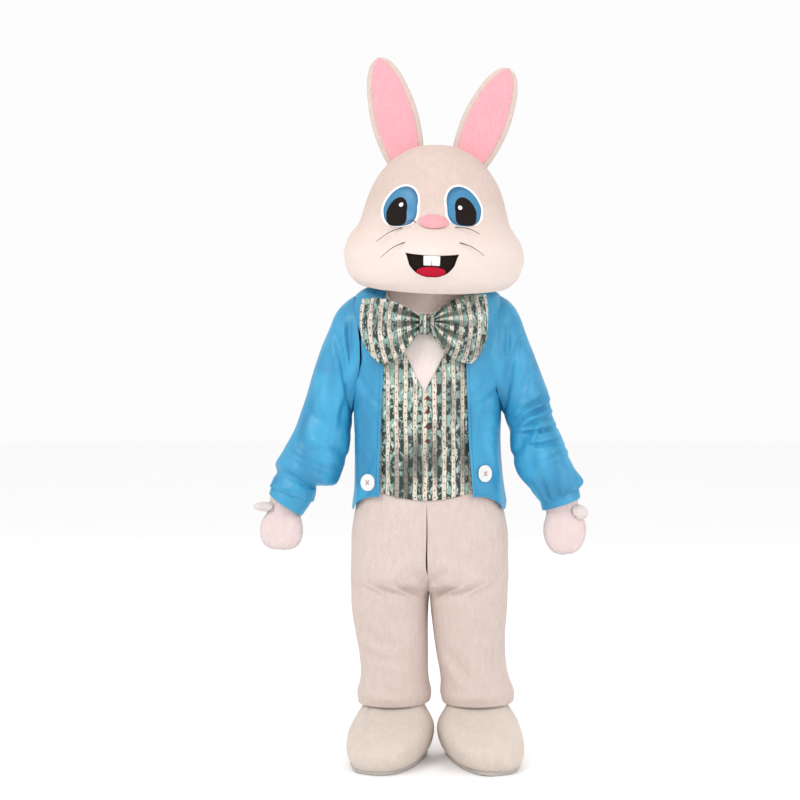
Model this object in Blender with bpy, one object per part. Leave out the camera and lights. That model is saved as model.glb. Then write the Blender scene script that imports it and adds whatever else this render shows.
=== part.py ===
# Bunny costume: plush jumpsuit, head, gloves and feet, satin jacket, striped vest and bow tie.
# Metres, +Z up, the front faces -Y and the wearer's left is +X. The origin is the base of the neck,
# 1.40 m above the floor. Every cloth piece is a wall between two nested surfaces.

import math

import bmesh
import bpy
from mathutils import Matrix, Vector

# Driving sizes
FLOOR = -1.400
SEAM = 0.0003             # clear width of a seam between two pieces
PLUSH = 0.004             # wall of the jumpsuit and gloves
SATIN = 0.0018            # wall of jacket, vest and bow
FOAM = 0.012              # wall of the head
FELT = 0.002              # flat pieces sewn on the head
TURN = 0.09               # the body faces a little to its right
HEAD_X = 0.031            # the head leans this far to the left of the neck's base
HEAD_Y = -0.020
HEAD_ROLL = math.radians(2.0)
HEAD_TURN = 0.045
HEAD_PIVOT = 0.060
HEAD_SEAM_Y = 0.055       # the head's front and back halves meet in this plane
HEAD_DROP = 0.25          # the underside falls this much towards the chin
SUIT_ARMHOLE = (-0.300, 0.010)
JACKET_ARMHOLE = (-0.340, 0.014)
ARMHOLE_REACH = math.radians(34.0)
JACKET_BUTTON_RADIUS = 0.0254
VEST_BUTTON_RADIUS = 0.0065
VEST_BUTTON_HEIGHTS = (-0.302, -0.342, -0.386, -0.430)
JACKET_BUTTON_OUT = 0.0166


class Table:
    """Rows of sizes under named columns, read smoothly between the rows."""

    def __init__(self, names, *rows):
        self.names = names.split()
        self.rows = sorted(rows)

    def at(self, key, name):
        column = self.names.index(name)
        keys = [row[0] for row in self.rows]
        if key <= keys[0]:
            return self.rows[0][column]
        if key >= keys[-1]:
            return self.rows[-1][column]
        high = next(index for index, value in enumerate(keys) if value >= key)
        low = high - 1
        before, after = max(low - 1, 0), min(high + 1, len(keys) - 1)
        step = keys[high] - keys[low]
        share = (key - keys[low]) / step
        value = [self.rows[index][column] for index in (before, low, high, after)]
        rise_in = (value[2] - value[0]) / (keys[high] - keys[before]) * step
        rise_out = (value[3] - value[1]) / (keys[after] - keys[low]) * step
        if (value[2] - value[1]) * (value[1] - value[0]) <= 0.0:
            rise_in = 0.0
        if (value[3] - value[2]) * (value[2] - value[1]) <= 0.0:
            rise_out = 0.0
        square, cube = share ** 2, share ** 3
        return (value[1] * (2 * cube - 3 * square + 1) + rise_in * (cube - 2 * square + share)
                + value[2] * (3 * square - 2 * cube) + rise_out * (cube - square))


# Half of the body at each height: a flattened ellipse round 'centre', cut off at the middle plane
BODY = Table("z centre half front back square",
             (-1.237, 0.130, 0.111, 0.098, 0.104, 0.95),
             (-1.205, 0.128, 0.115, 0.102, 0.108, 0.95),
             (-1.160, 0.124, 0.106, 0.094, 0.102, 0.95),
             (-1.088, 0.120, 0.106, 0.094, 0.104, 0.95),
             (-1.000, 0.121, 0.114, 0.104, 0.114, 0.92),
             (-0.940, 0.1225, 0.1195, 0.112, 0.122, 0.90),
             (-0.900, 0.1215, 0.1205, 0.122, 0.130, 0.90),
             (-0.865, 0.104, 0.140, 0.134, 0.138, 0.88),
             (-0.820, 0.066, 0.178, 0.144, 0.144, 0.85),
             (-0.770, 0.024, 0.219, 0.148, 0.146, 0.82),
             (-0.720, 0.000, 0.242, 0.148, 0.144, 0.80),
             (-0.640, 0.000, 0.229, 0.144, 0.136, 0.80),
             (-0.560, 0.000, 0.215, 0.140, 0.124, 0.80),
             (-0.450, 0.000, 0.212, 0.140, 0.114, 0.80),
             (-0.320, 0.000, 0.216, 0.144, 0.116, 0.80),
             (-0.200, 0.000, 0.220, 0.140, 0.120, 0.78),
             (-0.100, 0.000, 0.223, 0.126, 0.118, 0.76),
             (-0.030, 0.000, 0.225, 0.112, 0.112, 0.78),
             (0.006, 0.000, 0.220, 0.104, 0.106, 0.82),
             (0.024, 0.000, 0.208, 0.100, 0.102, 0.88),
             (0.036, 0.000, 0.186, 0.096, 0.099, 0.94),
             (0.046, 0.000, 0.150, 0.092, 0.096, 1.00),
             (0.055, 0.000, 0.114, 0.088, 0.092, 1.00))

# Sideways place of the body's middle at each height
LEAN = Table("z x",
             (-1.400, 0.0405), (-1.237, 0.0406), (-1.088, 0.029), (-0.940, 0.0205),
             (-0.700, 0.022), (-0.400, 0.015), (0.060, 0.016))

# The head from its neck hole to its crown
HEAD = Table("z half front back",
             (0.050, 0.224, 0.176, 0.168), (0.062, 0.246, 0.192, 0.182),
             (0.080, 0.262, 0.202, 0.190), (0.105, 0.272, 0.208, 0.196),
             (0.142, 0.2778, 0.210, 0.200),
             (0.188, 0.2635, 0.203, 0.203), (0.213, 0.245, 0.198, 0.203),
             (0.238, 0.2300, 0.196, 0.203), (0.275, 0.220, 0.196, 0.202),
             (0.325, 0.2046, 0.188, 0.194), (0.374, 0.1813, 0.170, 0.178),
             (0.421, 0.1440, 0.138, 0.146), (0.452, 0.102, 0.100, 0.106),
             (0.469, 0.060, 0.060, 0.062))
HEAD_HOLE = (0.074, 0.088, 0.088, 0.098)
HEAD_UNDER = (0.066, 0.160, 0.138, 0.140)
HEAD_CROWN = 0.477

# Puffs on the front of the head: place, spread and reach
PUFFS = Table("x z wide tall reach",
              (-0.118, 0.135, 0.085, 0.060, 0.020), (0.000, 0.150, 0.075, 0.048, 0.052),
              (0.118, 0.135, 0.085, 0.060, 0.020))

# One row for each ring of a sleeve: its outer and inner point seen from the front, its depth
# and how far its middle lies in front of the side seam
SLEEVE_NAMES = "step outer_x outer_z inner_x inner_z depth forward"
SLEEVE_RIGHT = Table(SLEEVE_NAMES,
                     (1, -0.257, -0.022, -0.219, -0.350, 0.158, 0.000),
                     (2, -0.286, -0.078, -0.220, -0.366, 0.164, 0.000),
                     (3, -0.315, -0.146, -0.221, -0.384, 0.168, 0.002),
                     (4, -0.344, -0.238, -0.223, -0.410, 0.170, 0.005),
                     (5, -0.369, -0.319, -0.224, -0.440, 0.166, 0.010),
                     (6, -0.395, -0.394, -0.231, -0.476, 0.158, 0.016),
                     (7, -0.429, -0.462, -0.243, -0.512, 0.152, 0.024),
                     (8, -0.460, -0.532, -0.262, -0.549, 0.152, 0.030),
                     (9, -0.472, -0.572, -0.296, -0.584, 0.142, 0.034))
SLEEVE_LEFT = Table(SLEEVE_NAMES,
                    (1, 0.279, -0.014, 0.250, -0.350, 0.158, 0.000),
                    (2, 0.306, -0.066, 0.251, -0.366, 0.164, 0.000),
                    (3, 0.333, -0.137, 0.252, -0.384, 0.168, 0.002),
                    (4, 0.362, -0.212, 0.254, -0.410, 0.170, 0.005),
                    (5, 0.388, -0.283, 0.252, -0.440, 0.166, 0.010),
                    (6, 0.401, -0.354, 0.258, -0.476, 0.158, 0.016),
                    (7, 0.428, -0.420, 0.268, -0.512, 0.152, 0.024),
                    (8, 0.455, -0.495, 0.287, -0.552, 0.152, 0.030),
                    (9, 0.486, -0.566, 0.330, -0.600, 0.142, 0.034))
# Folds pressed into a sleeve: step along it, turn round it (0 outer, 0.25 front), slant, depth
SLEEVE_FOLDS = ((3.2, 0.30, 0.9, 0.006), (5.2, 0.22, 0.8, 0.010), (5.9, 0.34, 0.7, 0.009),
                (6.7, 0.24, 0.8, 0.008), (7.4, 0.36, 0.5, 0.007), (5.6, 0.72, 0.7, 0.008),
                (6.8, 0.66, 0.6, 0.007), (4.4, 0.62, 0.8, 0.006))


# Reading places on the body and the head
def power(value, exponent):
    return math.copysign(abs(value) ** exponent, value)


def mix(low, high, share):
    return low + (high - low) * share


def ease(share):
    share = min(max(share, 0.0), 1.0)
    return share * share * (3.0 - 2.0 * share)


def body_section(z, angle, side, face):
    """Angle 0 is the side seam and a quarter turn the middle; face is -1 in front, 1 behind."""
    square = BODY.at(z, "square")
    depth = BODY.at(z, "front" if face < 0 else "back")
    x = BODY.at(z, "centre") + BODY.at(z, "half") * power(math.cos(angle), square)
    y = face * (depth * power(math.sin(angle), square) + SEAM / 2)
    return Vector((side * x, y, z))


def body_normal(z, angle, side, face):
    near = 0.004
    along = (body_section(z, angle + near, side, face)
             - body_section(z, angle - near, side, face))
    if abs(angle) < near:
        along = Vector((0.0, 1.0, 0.0))
    rise = body_section(z + near, angle, side, face) - body_section(z - near, angle, side, face)
    normal = along.cross(rise).normalized()
    middle = Vector((side * BODY.at(z, "centre"), 0.0, z))
    outward = normal.dot(body_section(z, angle, side, face) - middle)
    return normal if outward > 0.0 else -normal


def body_point(z, angle, side, face, out=0.0):
    """A place on the jumpsuit's outer surface, or 'out' from it along its normal."""
    point = body_section(z, angle, side, face)
    if out:
        point += body_normal(z, angle, side, face) * out
    return point


def angle_at(z, x):
    """The angle where the section at this height passes x."""
    share = (x - BODY.at(z, "centre")) / BODY.at(z, "half")
    share = max(-1.0, min(1.0, share))
    return math.acos(power(share, 1.0 / BODY.at(z, "square")))


def chest_point(x, z, out=0.0):
    """A place on the front of the body, or 'out' in front of it."""
    side = 1 if x >= 0.0 else -1
    return body_point(z, angle_at(z, abs(x)), side, -1, out)


def armhole_angle(z, ends):
    low, high = ends
    if not low < z < high:
        return 0.0
    return ARMHOLE_REACH * math.sin(math.pi * (z - low) / (high - low)) ** 0.6


def pose_body(point):
    return Vector((point.x + LEAN.at(point.z, "x") + TURN * point.y, point.y, point.z))


def pose_head(point):
    """Head places are given from the head's own middle, then turned and rolled onto the neck."""
    rolled = Matrix.Rotation(HEAD_ROLL, 3, "Y") @ (point - Vector((0.0, 0.0, HEAD_PIVOT)))
    rolled.x += HEAD_X + HEAD_TURN * rolled.y
    return rolled + Vector((0.0, HEAD_Y, HEAD_PIVOT))


def unposed(point):
    return point.copy()


# Meshes and materials
def make_material(name, colour, roughness, sheen=0.0):
    material = bpy.data.materials.new(name)
    material.use_nodes = True
    shader = material.node_tree.nodes["Principled BSDF"]
    shader.inputs["Base Color"].default_value = (*colour, 1.0)
    shader.inputs["Roughness"].default_value = roughness
    shader.inputs["Metallic"].default_value = 0.0
    shader.inputs["Sheen Weight"].default_value = sheen
    material.diffuse_color = (*colour, 1.0)
    return material


def make_object(name, shape, material):
    """Closes a bmesh into a named object with its faces pointing out."""
    bmesh.ops.recalc_face_normals(shape, faces=shape.faces)
    mesh = bpy.data.meshes.new(name)
    shape.to_mesh(mesh)
    shape.free()
    mesh.shade_smooth()
    mesh.set_sharp_from_angle(angle=math.radians(40.0))
    mesh.materials.append(material)
    item = bpy.data.objects.new(name, mesh)
    bpy.context.scene.collection.objects.link(item)
    return item


def grid_normals(rows, closed, inside, seams):
    """Normals of a grid of points, away from 'inside'; a seam's edge keeps to its plane."""
    normals = []
    last = len(rows[0]) - 1
    for number, row in enumerate(rows):
        above = rows[min(number + 1, len(rows) - 1)]
        below = rows[max(number - 1, 0)]
        line = []
        for column in range(last + 1):
            ahead = row[(column + 1) % (last + 1)] if closed else row[min(column + 1, last)]
            behind = row[column - 1] if closed else row[max(column - 1, 0)]
            normal = (ahead - behind).cross(above[column] - below[column])
            for edge, place in ((0, 0), (1, last)):
                if column == place and seams[edge] is not None:
                    normal[seams[edge][number]] = 0.0
            line.append(normal.normalized())
        normals.append(line)
    outward = sum(normal.dot(point - inside(point))
                  for line, row in zip(normals, rows) for normal, point in zip(line, row))
    if outward < 0.0:
        normals = [[-normal for normal in line] for line in normals]
    return normals


def middle_axis(point):
    return Vector((0.0, 0.0, point.z))


def cloth(name, rows, wall, material, closed=False, inside=middle_axis, seams=(None, None),
          pose=pose_body):
    """A wall of even thickness behind a grid of points, with rims round its open edges.
    A seam is the number of the axis that its plane stands across, or one such number a row."""
    seams = [[axis] * len(rows) if isinstance(axis, int) else axis for axis in seams]
    normals = grid_normals(rows, closed, inside, seams)
    shape = bmesh.new()
    layers = []
    for depth in (0.0, wall):
        layers.append([[shape.verts.new(pose(point - normal * depth))
                        for point, normal in zip(row, line)]
                       for row, line in zip(rows, normals)])
    columns = len(rows[0])
    around = columns if closed else columns - 1
    for layer in layers:
        for low, high in zip(layer, layer[1:]):
            for column in range(around):
                ahead = (column + 1) % columns
                shape.faces.new((low[column], low[ahead], high[ahead], high[column]))
    outer, inner = layers
    for edge in (0, -1):
        for column in range(around):
            ahead = (column + 1) % columns
            shape.faces.new((outer[edge][column], outer[edge][ahead],
                             inner[edge][ahead], inner[edge][column]))
    if not closed:
        for edge in (0, -1):
            for number in range(len(rows) - 1):
                shape.faces.new((outer[number][edge], outer[number + 1][edge],
                                 inner[number + 1][edge], inner[number][edge]))
    return make_object(name, shape, material)


def loft(shape, rings, hubs=(None, None)):
    """Joins rings of equal length into a closed skin, with a fan round a hub on each end."""
    made = [[shape.verts.new(point) for point in ring] for ring in rings]
    count = len(made[0])
    for low, high in zip(made, made[1:]):
        for column in range(count):
            ahead = (column + 1) % count
            shape.faces.new((low[column], low[ahead], high[ahead], high[column]))
    for ring, hub in ((made[0], hubs[0]), (made[-1], hubs[1])):
        place = hub or sum((vert.co for vert in ring), Vector()) / count
        middle = shape.verts.new(place)
        for column in range(count):
            shape.faces.new((ring[column], ring[(column + 1) % count], middle))


def cut(item, cutter, operation="DIFFERENCE"):
    modifier = item.modifiers.new("Cut", "BOOLEAN")
    modifier.operation = operation
    modifier.solver = "EXACT"
    modifier.object = cutter
    cutter.hide_render = True
    cutter.display_type = "WIRE"


def box_cutter(name, low, high):
    shape = bmesh.new()
    bmesh.ops.create_cube(shape, size=1.0)
    size = Vector(high) - Vector(low)
    bmesh.ops.scale(shape, vec=size, verts=shape.verts)
    bmesh.ops.translate(shape, vec=Vector(low) + size / 2, verts=shape.verts)
    return make_object(name, shape, MATERIALS["plush"])


# Heights of the grid rows. Above the chest they climb to the neckline and meet on the shoulder.
CHEST_LEVEL = -0.095
SHOULDER_LEVELS = (-0.055, -0.018, 0.014, 0.036, 0.0556)
NECKLINE = Table("angle front back",
                 (0.0, 0.0556, 0.0556), (0.55, 0.0520, 0.0540), (0.95, 0.0300, 0.0520),
                 (1.25, -0.0200, 0.0500), (1.5708, -0.0450, 0.0490))


def level_height(levels, level, angle, face):
    if level < len(levels):
        return levels[level]
    rise = (SHOULDER_LEVELS[level - len(levels)] - CHEST_LEVEL) / (SHOULDER_LEVELS[-1] - CHEST_LEVEL)
    return mix(CHEST_LEVEL, NECKLINE.at(angle, "front" if face < 0 else "back"), rise)


def leg_axis(side):
    def inside(point):
        return Vector((side * BODY.at(point.z, "centre"), 0.0, point.z))
    return inside


# Jumpsuit
SUIT_LEVELS = (-1.237, -1.205, -1.165, -1.100, -1.020, -0.950, -0.900, -0.865, -0.820,
               -0.770, -0.700, -0.600, -0.500, -0.400, -0.300, -0.200, CHEST_LEVEL)
CROTCH = -0.899
SUIT_COLUMNS = 6


def suit_panel(name, side, face):
    rows = []
    for level in range(len(SUIT_LEVELS) + len(SHOULDER_LEVELS)):
        seam_angle = armhole_angle(level_height(SUIT_LEVELS, level, 0.0, face), SUIT_ARMHOLE)
        row = []
        for column in range(SUIT_COLUMNS + 1):
            share = column / SUIT_COLUMNS
            guess = mix(math.pi / 2, seam_angle, share)
            z = level_height(SUIT_LEVELS, level, guess, face)
            angle = mix(angle_at(z, SEAM / 2), seam_angle, share)
            row.append(body_point(z, angle, side, face))
        rows.append(row)
    inner_seam = [1 if row[0].z <= CROTCH else 0 for row in rows]
    return cloth(name, rows, PLUSH, MATERIALS["plush"], inside=leg_axis(side),
                 seams=(inner_seam, 1))


def make_jumpsuit():
    for side, word in ((1, "left"), (-1, "right")):
        suit_panel("suit_front_" + word, side, -1)
        suit_panel("suit_back_" + word, side, 1)


# Jacket
JACKET_LEVELS = (-0.598, -0.550, -0.490, -0.410, -0.340, -0.290, -0.240, -0.190,
                 -0.140, CHEST_LEVEL)
JACKET_COLUMNS = 6
JACKET_HEM_DIP = 0.046
OPENING = Table("z x", (-0.600, 0.134), (-0.450, 0.128), (-0.300, 0.124), (-0.190, 0.121),
                (-0.090, 0.119), (0.030, 0.116))
HANG = Table("z out", (-0.600, 0.018), (-0.450, 0.014), (-0.300, 0.012), (-0.150, 0.012),
             (-0.050, 0.0085), (0.010, 0.0062), (0.056, 0.0050))
# Soft hanging folds down the jacket's body: angle from the side, width, depth
JACKET_FOLDS = ((0.45, 0.10, 0.006), (0.75, 0.09, -0.004), (1.05, 0.11, 0.004))


def jacket_out(z, angle):
    out = HANG.at(z, "out")
    loose = ease((-0.12 - z) / 0.25)
    for place, width, depth in JACKET_FOLDS:
        out += loose * depth * math.exp(-((angle - place) / width) ** 2)
    return out


def jacket_point(z, angle, side, face, hem_share):
    """The hem hangs lowest near the side and rises to the opening."""
    point = body_point(z, angle, side, face, jacket_out(z, angle))
    dip = JACKET_HEM_DIP * math.exp(-((hem_share - 0.74) / 0.30) ** 2)
    point.z -= dip * ease((-0.42 - z) / 0.18)
    return point


def jacket_front(name, side):
    rows = []
    for level in range(len(JACKET_LEVELS) + len(SHOULDER_LEVELS)):
        seam_z = level_height(JACKET_LEVELS, level, 0.0, -1)
        seam_angle = armhole_angle(seam_z, JACKET_ARMHOLE)
        edge_z = level_height(JACKET_LEVELS, level, 0.95, -1)
        edge_angle = angle_at(edge_z, OPENING.at(edge_z, "x"))
        row = []
        for column in range(JACKET_COLUMNS + 1):
            share = column / JACKET_COLUMNS
            angle = mix(edge_angle, seam_angle, share)
            z = level_height(JACKET_LEVELS, level, angle, -1)
            row.append(jacket_point(z, angle, side, -1, share))
        rows.append(row)
    return cloth(name, rows, SATIN, MATERIALS["satin_blue"], seams=(None, 1))


def jacket_back(name):
    rows = []
    for level in range(len(JACKET_LEVELS) + len(SHOULDER_LEVELS)):
        seam_z = level_height(JACKET_LEVELS, level, 0.0, 1)
        seam_angle = armhole_angle(seam_z, JACKET_ARMHOLE)
        row = []
        for column in range(2 * JACKET_COLUMNS + 1):
            across = 1.0 - abs(column / JACKET_COLUMNS - 1.0)
            angle = mix(seam_angle, math.pi / 2, across)
            z = level_height(JACKET_LEVELS, level, angle, 1)
            side = 1 if column < JACKET_COLUMNS else -1
            row.append(jacket_point(z, angle, side, 1, 1.0 - across * 0.5))
        rows.append(row)
    return cloth(name, rows, SATIN, MATERIALS["satin_blue"], seams=(1, 1))


# Sleeves, from the armhole's own edge to the cuff
SLEEVE_SEAM = 0.0006
ARMHOLE_LEVELS = [z for z in JACKET_LEVELS + SHOULDER_LEVELS
                  if JACKET_ARMHOLE[0] <= z <= JACKET_ARMHOLE[1]]
SLEEVE_POINTS = 2 * (len(ARMHOLE_LEVELS) - 1)
SLEEVE_STEPS = (1, 2, 3, 3.8, 4.5, 5.0, 5.5, 5.9, 6.3, 6.8, 7.3, 8.0, 8.6, 9.0)
CUFF_NAMES = "step outer_x outer_z inner_x inner_z depth forward"
CUFF_RIGHT = Table(CUFF_NAMES,
                   (0, -0.446, -0.550, -0.330, -0.583, 0.106, 0.034),
                   (1, -0.466, -0.574, -0.342, -0.618, 0.114, 0.036),
                   (2, -0.472, -0.594, -0.371, -0.661, 0.118, 0.038))
CUFF_LEFT = Table(CUFF_NAMES,
                  (0, 0.463, -0.548, 0.350, -0.585, 0.106, 0.034),
                  (1, 0.478, -0.580, 0.360, -0.622, 0.114, 0.036),
                  (2, 0.482, -0.605, 0.3655, -0.645, 0.118, 0.038))


def armhole_ring(side):
    """The armhole's edge on the jacket, front from top to bottom and then back upwards."""
    ring = []
    for face, levels in ((-1, ARMHOLE_LEVELS[:0:-1]), (1, ARMHOLE_LEVELS[:-1])):
        for z in levels:
            angle = armhole_angle(z, JACKET_ARMHOLE)
            ring.append(pose_body(jacket_point(z, angle, side, face, 1.0)))
    return ring


def sleeve_place(table, step, turn, grow=0.0, swell=1.0):
    """A place on an oval ring through the sleeve's outer and inner points; turn 0 is outside."""
    outer = Vector((table.at(step, "outer_x"), 0.0, table.at(step, "outer_z")))
    inner = Vector((table.at(step, "inner_x"), 0.0, table.at(step, "inner_z")))
    middle = (outer + inner) / 2
    middle.y = -table.at(step, "forward")
    across = (outer - inner) / 2
    reach = (across.length + grow) * math.cos(turn) * swell
    depth = (table.at(step, "depth") / 2 + grow) * math.sin(turn) * swell
    return middle + across.normalized() * reach - Vector((0.0, depth, 0.0))


def sleeve_ring(table, step, grow=0.0, folds=()):
    ring = []
    for number in range(SLEEVE_POINTS):
        swell = 1.0
        for place, around, slant, fold in folds:
            away = (number / SLEEVE_POINTS - around + 0.5) % 1.0 - 0.5
            along = step - place - slant * away * 4.0
            press = math.exp(-(along / 0.28) ** 2 - (away / 0.14) ** 2)
            swell -= 2.0 * fold / table.at(step, "depth") * press
        ring.append(sleeve_place(table, step, 2 * math.pi * number / SLEEVE_POINTS, grow, swell))
    return ring


def ring_centres(rows):
    """The middle of the nearest ring, as the inside of a bent tube."""
    middles = [sum(row, Vector()) / len(row) for row in rows]

    def inside(point):
        return min(middles, key=lambda middle: (middle - point).length)
    return inside


def make_sleeve(word, side, table, cuff):
    out = Vector((side * SLEEVE_SEAM, 0.0, 0.0))
    rows = [[point + out for point in armhole_ring(side)]]
    rows += [sleeve_ring(table, step, folds=SLEEVE_FOLDS) for step in SLEEVE_STEPS]
    rows.append(sleeve_ring(cuff, 1, grow=SLEEVE_SEAM + SATIN))
    cloth("sleeve_" + word, rows, SATIN, MATERIALS["satin_blue"], closed=True,
          inside=ring_centres(rows), pose=unposed)
    rows = [sleeve_ring(cuff, step) for step in (0, 1, 2)]
    cloth("cuff_" + word, rows, SATIN, MATERIALS["satin_blue"], closed=True,
          inside=ring_centres(rows), pose=unposed)


# Vest
VEST_GAP = 0.0017
VEST_EASE = 0.0016
VEST_EDGE = 0.168
VEST_COLUMNS = 8
VEST_ROWS = 9
VEST_V_BOTTOM = -0.288
VEST_V_SLOPE = 2.05
VEST_TOP = CHEST_LEVEL
VEST_HEM = (-0.607, 1.3)


def vest_front(name, side):
    rows = []
    for level in range(VEST_ROWS + 1):
        row = []
        for column in range(VEST_COLUMNS + 1):
            x = mix(SEAM / 2, VEST_EDGE, column / VEST_COLUMNS)
            low = VEST_HEM[0] + VEST_HEM[1] * x * x
            high = min(VEST_V_BOTTOM + VEST_V_SLOPE * x, VEST_TOP)
            z = mix(low, high, level / VEST_ROWS)
            ease_out = VEST_EASE * (x / VEST_EDGE) ** 2
            row.append(chest_point(side * x, z, VEST_GAP + SATIN + ease_out))
        rows.append(row)
    return cloth(name, rows, SATIN, MATERIALS["satin_stripe"], seams=(0, None))


# Buttons: a low dome with a rim and sewing holes
def make_button(name, x, z, out, radius, thick, holes, material):
    place = chest_point(x, z, out)
    normal = (chest_point(x, z, out + 0.01) - place).normalized()
    shape = bmesh.new()
    sides = 16 if holes else 8
    rings = []
    for share, height in ((0.92, 0.0), (1.0, 0.35), (1.0, 0.75), (0.86, 1.0), (0.74, 0.62)):
        rings.append([Vector((radius * share * math.cos(turn), radius * share * math.sin(turn),
                              thick * height))
                      for turn in (2 * math.pi * number / sides for number in range(sides))])
    loft(shape, rings)
    aim = normal.to_track_quat("Z", "Y").to_matrix().to_4x4()
    bmesh.ops.transform(shape, matrix=Matrix.Translation(pose_body(place)) @ aim, verts=shape.verts)
    button = make_object(name, shape, material)
    if holes:
        drill = bmesh.new()
        for turn in range(4):
            angle = math.pi / 4 + turn * math.pi / 2
            spot = Vector((math.cos(angle), math.sin(angle), 0.0)) * radius * 0.26
            bmesh.ops.create_cone(drill, cap_ends=True, segments=6, radius1=radius * 0.09,
                                  radius2=radius * 0.09, depth=thick * 6,
                                  matrix=Matrix.Translation(spot))
        bmesh.ops.transform(drill, matrix=Matrix.Translation(pose_body(place)) @ aim,
                            verts=drill.verts)
        cut(button, make_object(name + "_drill", drill, material))
    return button


# Bow tie: each loop folds back on itself at its outer edge, and the knot holds both
BOW_Z = -0.080
BOW_CLEAR = 0.0225
BOW_START = 0.0170
BOW_ROWS = 13
BOW_FRONT = (0.0, 0.13, 0.30, 0.50, 0.72, 0.90, 0.985)
BOW_BACK = (0.985, 0.72, 0.35, 0.0)
BOW_RIGHT = Table("down x z", (0.0, 0.192, 0.078), (0.2, 0.199, 0.034), (0.4, 0.197, -0.011),
                  (0.6, 0.187, -0.052), (0.8, 0.164, -0.090), (1.0, 0.130, -0.121))
BOW_LEFT = Table("down x z", (0.0, 0.182, 0.092), (0.2, 0.189, 0.044), (0.4, 0.188, -0.001),
                 (0.6, 0.184, -0.046), (0.8, 0.168, -0.088), (1.0, 0.1405, -0.119))
BOW_GATHERS = 4.0
BOW_GATHER_DEPTH = 0.006


def bow_height(down, along, table):
    start = mix(0.024, -0.024, down)
    end = table.at(down, "z")
    return mix(start, end, along) + mix(0.020, -0.026, down) * math.sin(math.pi * along)


def bow_point(down, along, table, side, front):
    x = side * mix(BOW_START, table.at(down, "x"), along)
    z = BOW_Z + bow_height(down, along, table)
    ground = chest_point(x, min(z, 0.0), 0.0)
    y = ground.y - BOW_CLEAR - 0.006 * along
    if front:
        puff = 0.010 + 0.036 * math.sin(math.pi * min(along, 0.98) ** 0.8)
        puff *= mix(0.6, 1.0, math.sin(math.pi * down))
        gather = math.cos(2 * math.pi * BOW_GATHERS * down)
        y -= puff + BOW_GATHER_DEPTH * gather * (1.0 - along) * min(along / 0.15, 1.0)
    return Vector((x, y, z))


def bow_loop(name, side, table):
    rows = []
    for number in range(BOW_ROWS + 1):
        down = number / BOW_ROWS
        row = [bow_point(down, along, table, side, True) for along in BOW_FRONT]
        fold = (row[-1] + bow_point(down, BOW_BACK[0], table, side, False)) / 2
        fold.x = side * table.at(down, "x")
        row.append(fold)
        row += [bow_point(down, along, table, side, False) for along in BOW_BACK]
        rows.append(row)
    return cloth(name, rows, SATIN, MATERIALS["satin_stripe"], inside=ring_centres(rows))


def bow_knot(name):
    rings = []
    back = chest_point(0.0, BOW_Z - 0.030, 0.0008).y
    for share, wide, deep in ((0.0, 0.72, 0.55), (0.12, 0.95, 0.85), (0.35, 1.0, 1.0),
                              (0.65, 1.0, 1.0), (0.88, 0.95, 0.85), (1.0, 0.72, 0.55)):
        ring = []
        for number in range(12):
            turn = 2 * math.pi * number / 12
            x = 0.0165 * wide * power(math.cos(turn), 0.7)
            y = back - 0.021 * deep * (1.0 - power(math.sin(turn), 0.7))
            ring.append(pose_body(Vector((x, y, mix(BOW_Z - 0.030, BOW_Z + 0.030, share)))))
        rings.append(ring)
    shape = bmesh.new()
    loft(shape, rings)
    return make_object(name, shape, MATERIALS["satin_stripe"])


# Head: one foam shell, cut into a front and a back half, with the mouth cut through
HEAD_COLUMNS = 30
MOUTH_NAMES = "x top bottom"
MOUTH = Table(MOUTH_NAMES, (0.000, 0.109, 0.050), (0.020, 0.110, 0.0535), (0.045, 0.113, 0.069),
              (0.065, 0.116, 0.093), (0.076, 0.118, 0.113))
MOUTH_STEPS = 5
MOUTH_DEPTH = 0.007
LINING = 0.003


def head_rings():
    """Half width, front, back and height of each ring, from the neck hole up to the crown."""
    z, half, front, back = HEAD_HOLE
    rings = [(z, half, front, back)]
    z, half, front, back = HEAD_UNDER
    rings.append((z, half, front, back))
    for row in HEAD.rows:
        rings.append(row)
    return rings


def puff_out(x, z):
    out = 0.0
    for place, height, wide, tall, reach in PUFFS.rows:
        out += reach * math.exp(-((x - place) / wide) ** 2 - ((z - height) / tall) ** 2)
    return out


def head_drop(y, z):
    return HEAD_DROP * y * ease((0.24 - z) / 0.18)


def head_ring(ring):
    z, half, front, back = ring
    points = []
    for number in range(HEAD_COLUMNS):
        turn = 2 * math.pi * number / HEAD_COLUMNS
        x = half * math.cos(turn)
        across = math.sin(turn)
        y = -front * across if across > 0.0 else -back * across
        if across > 0.0:
            y -= puff_out(x, z) * across * ease((z - 0.035) / 0.05)
        points.append(Vector((x, y, z + head_drop(y, z))))
    return points


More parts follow.
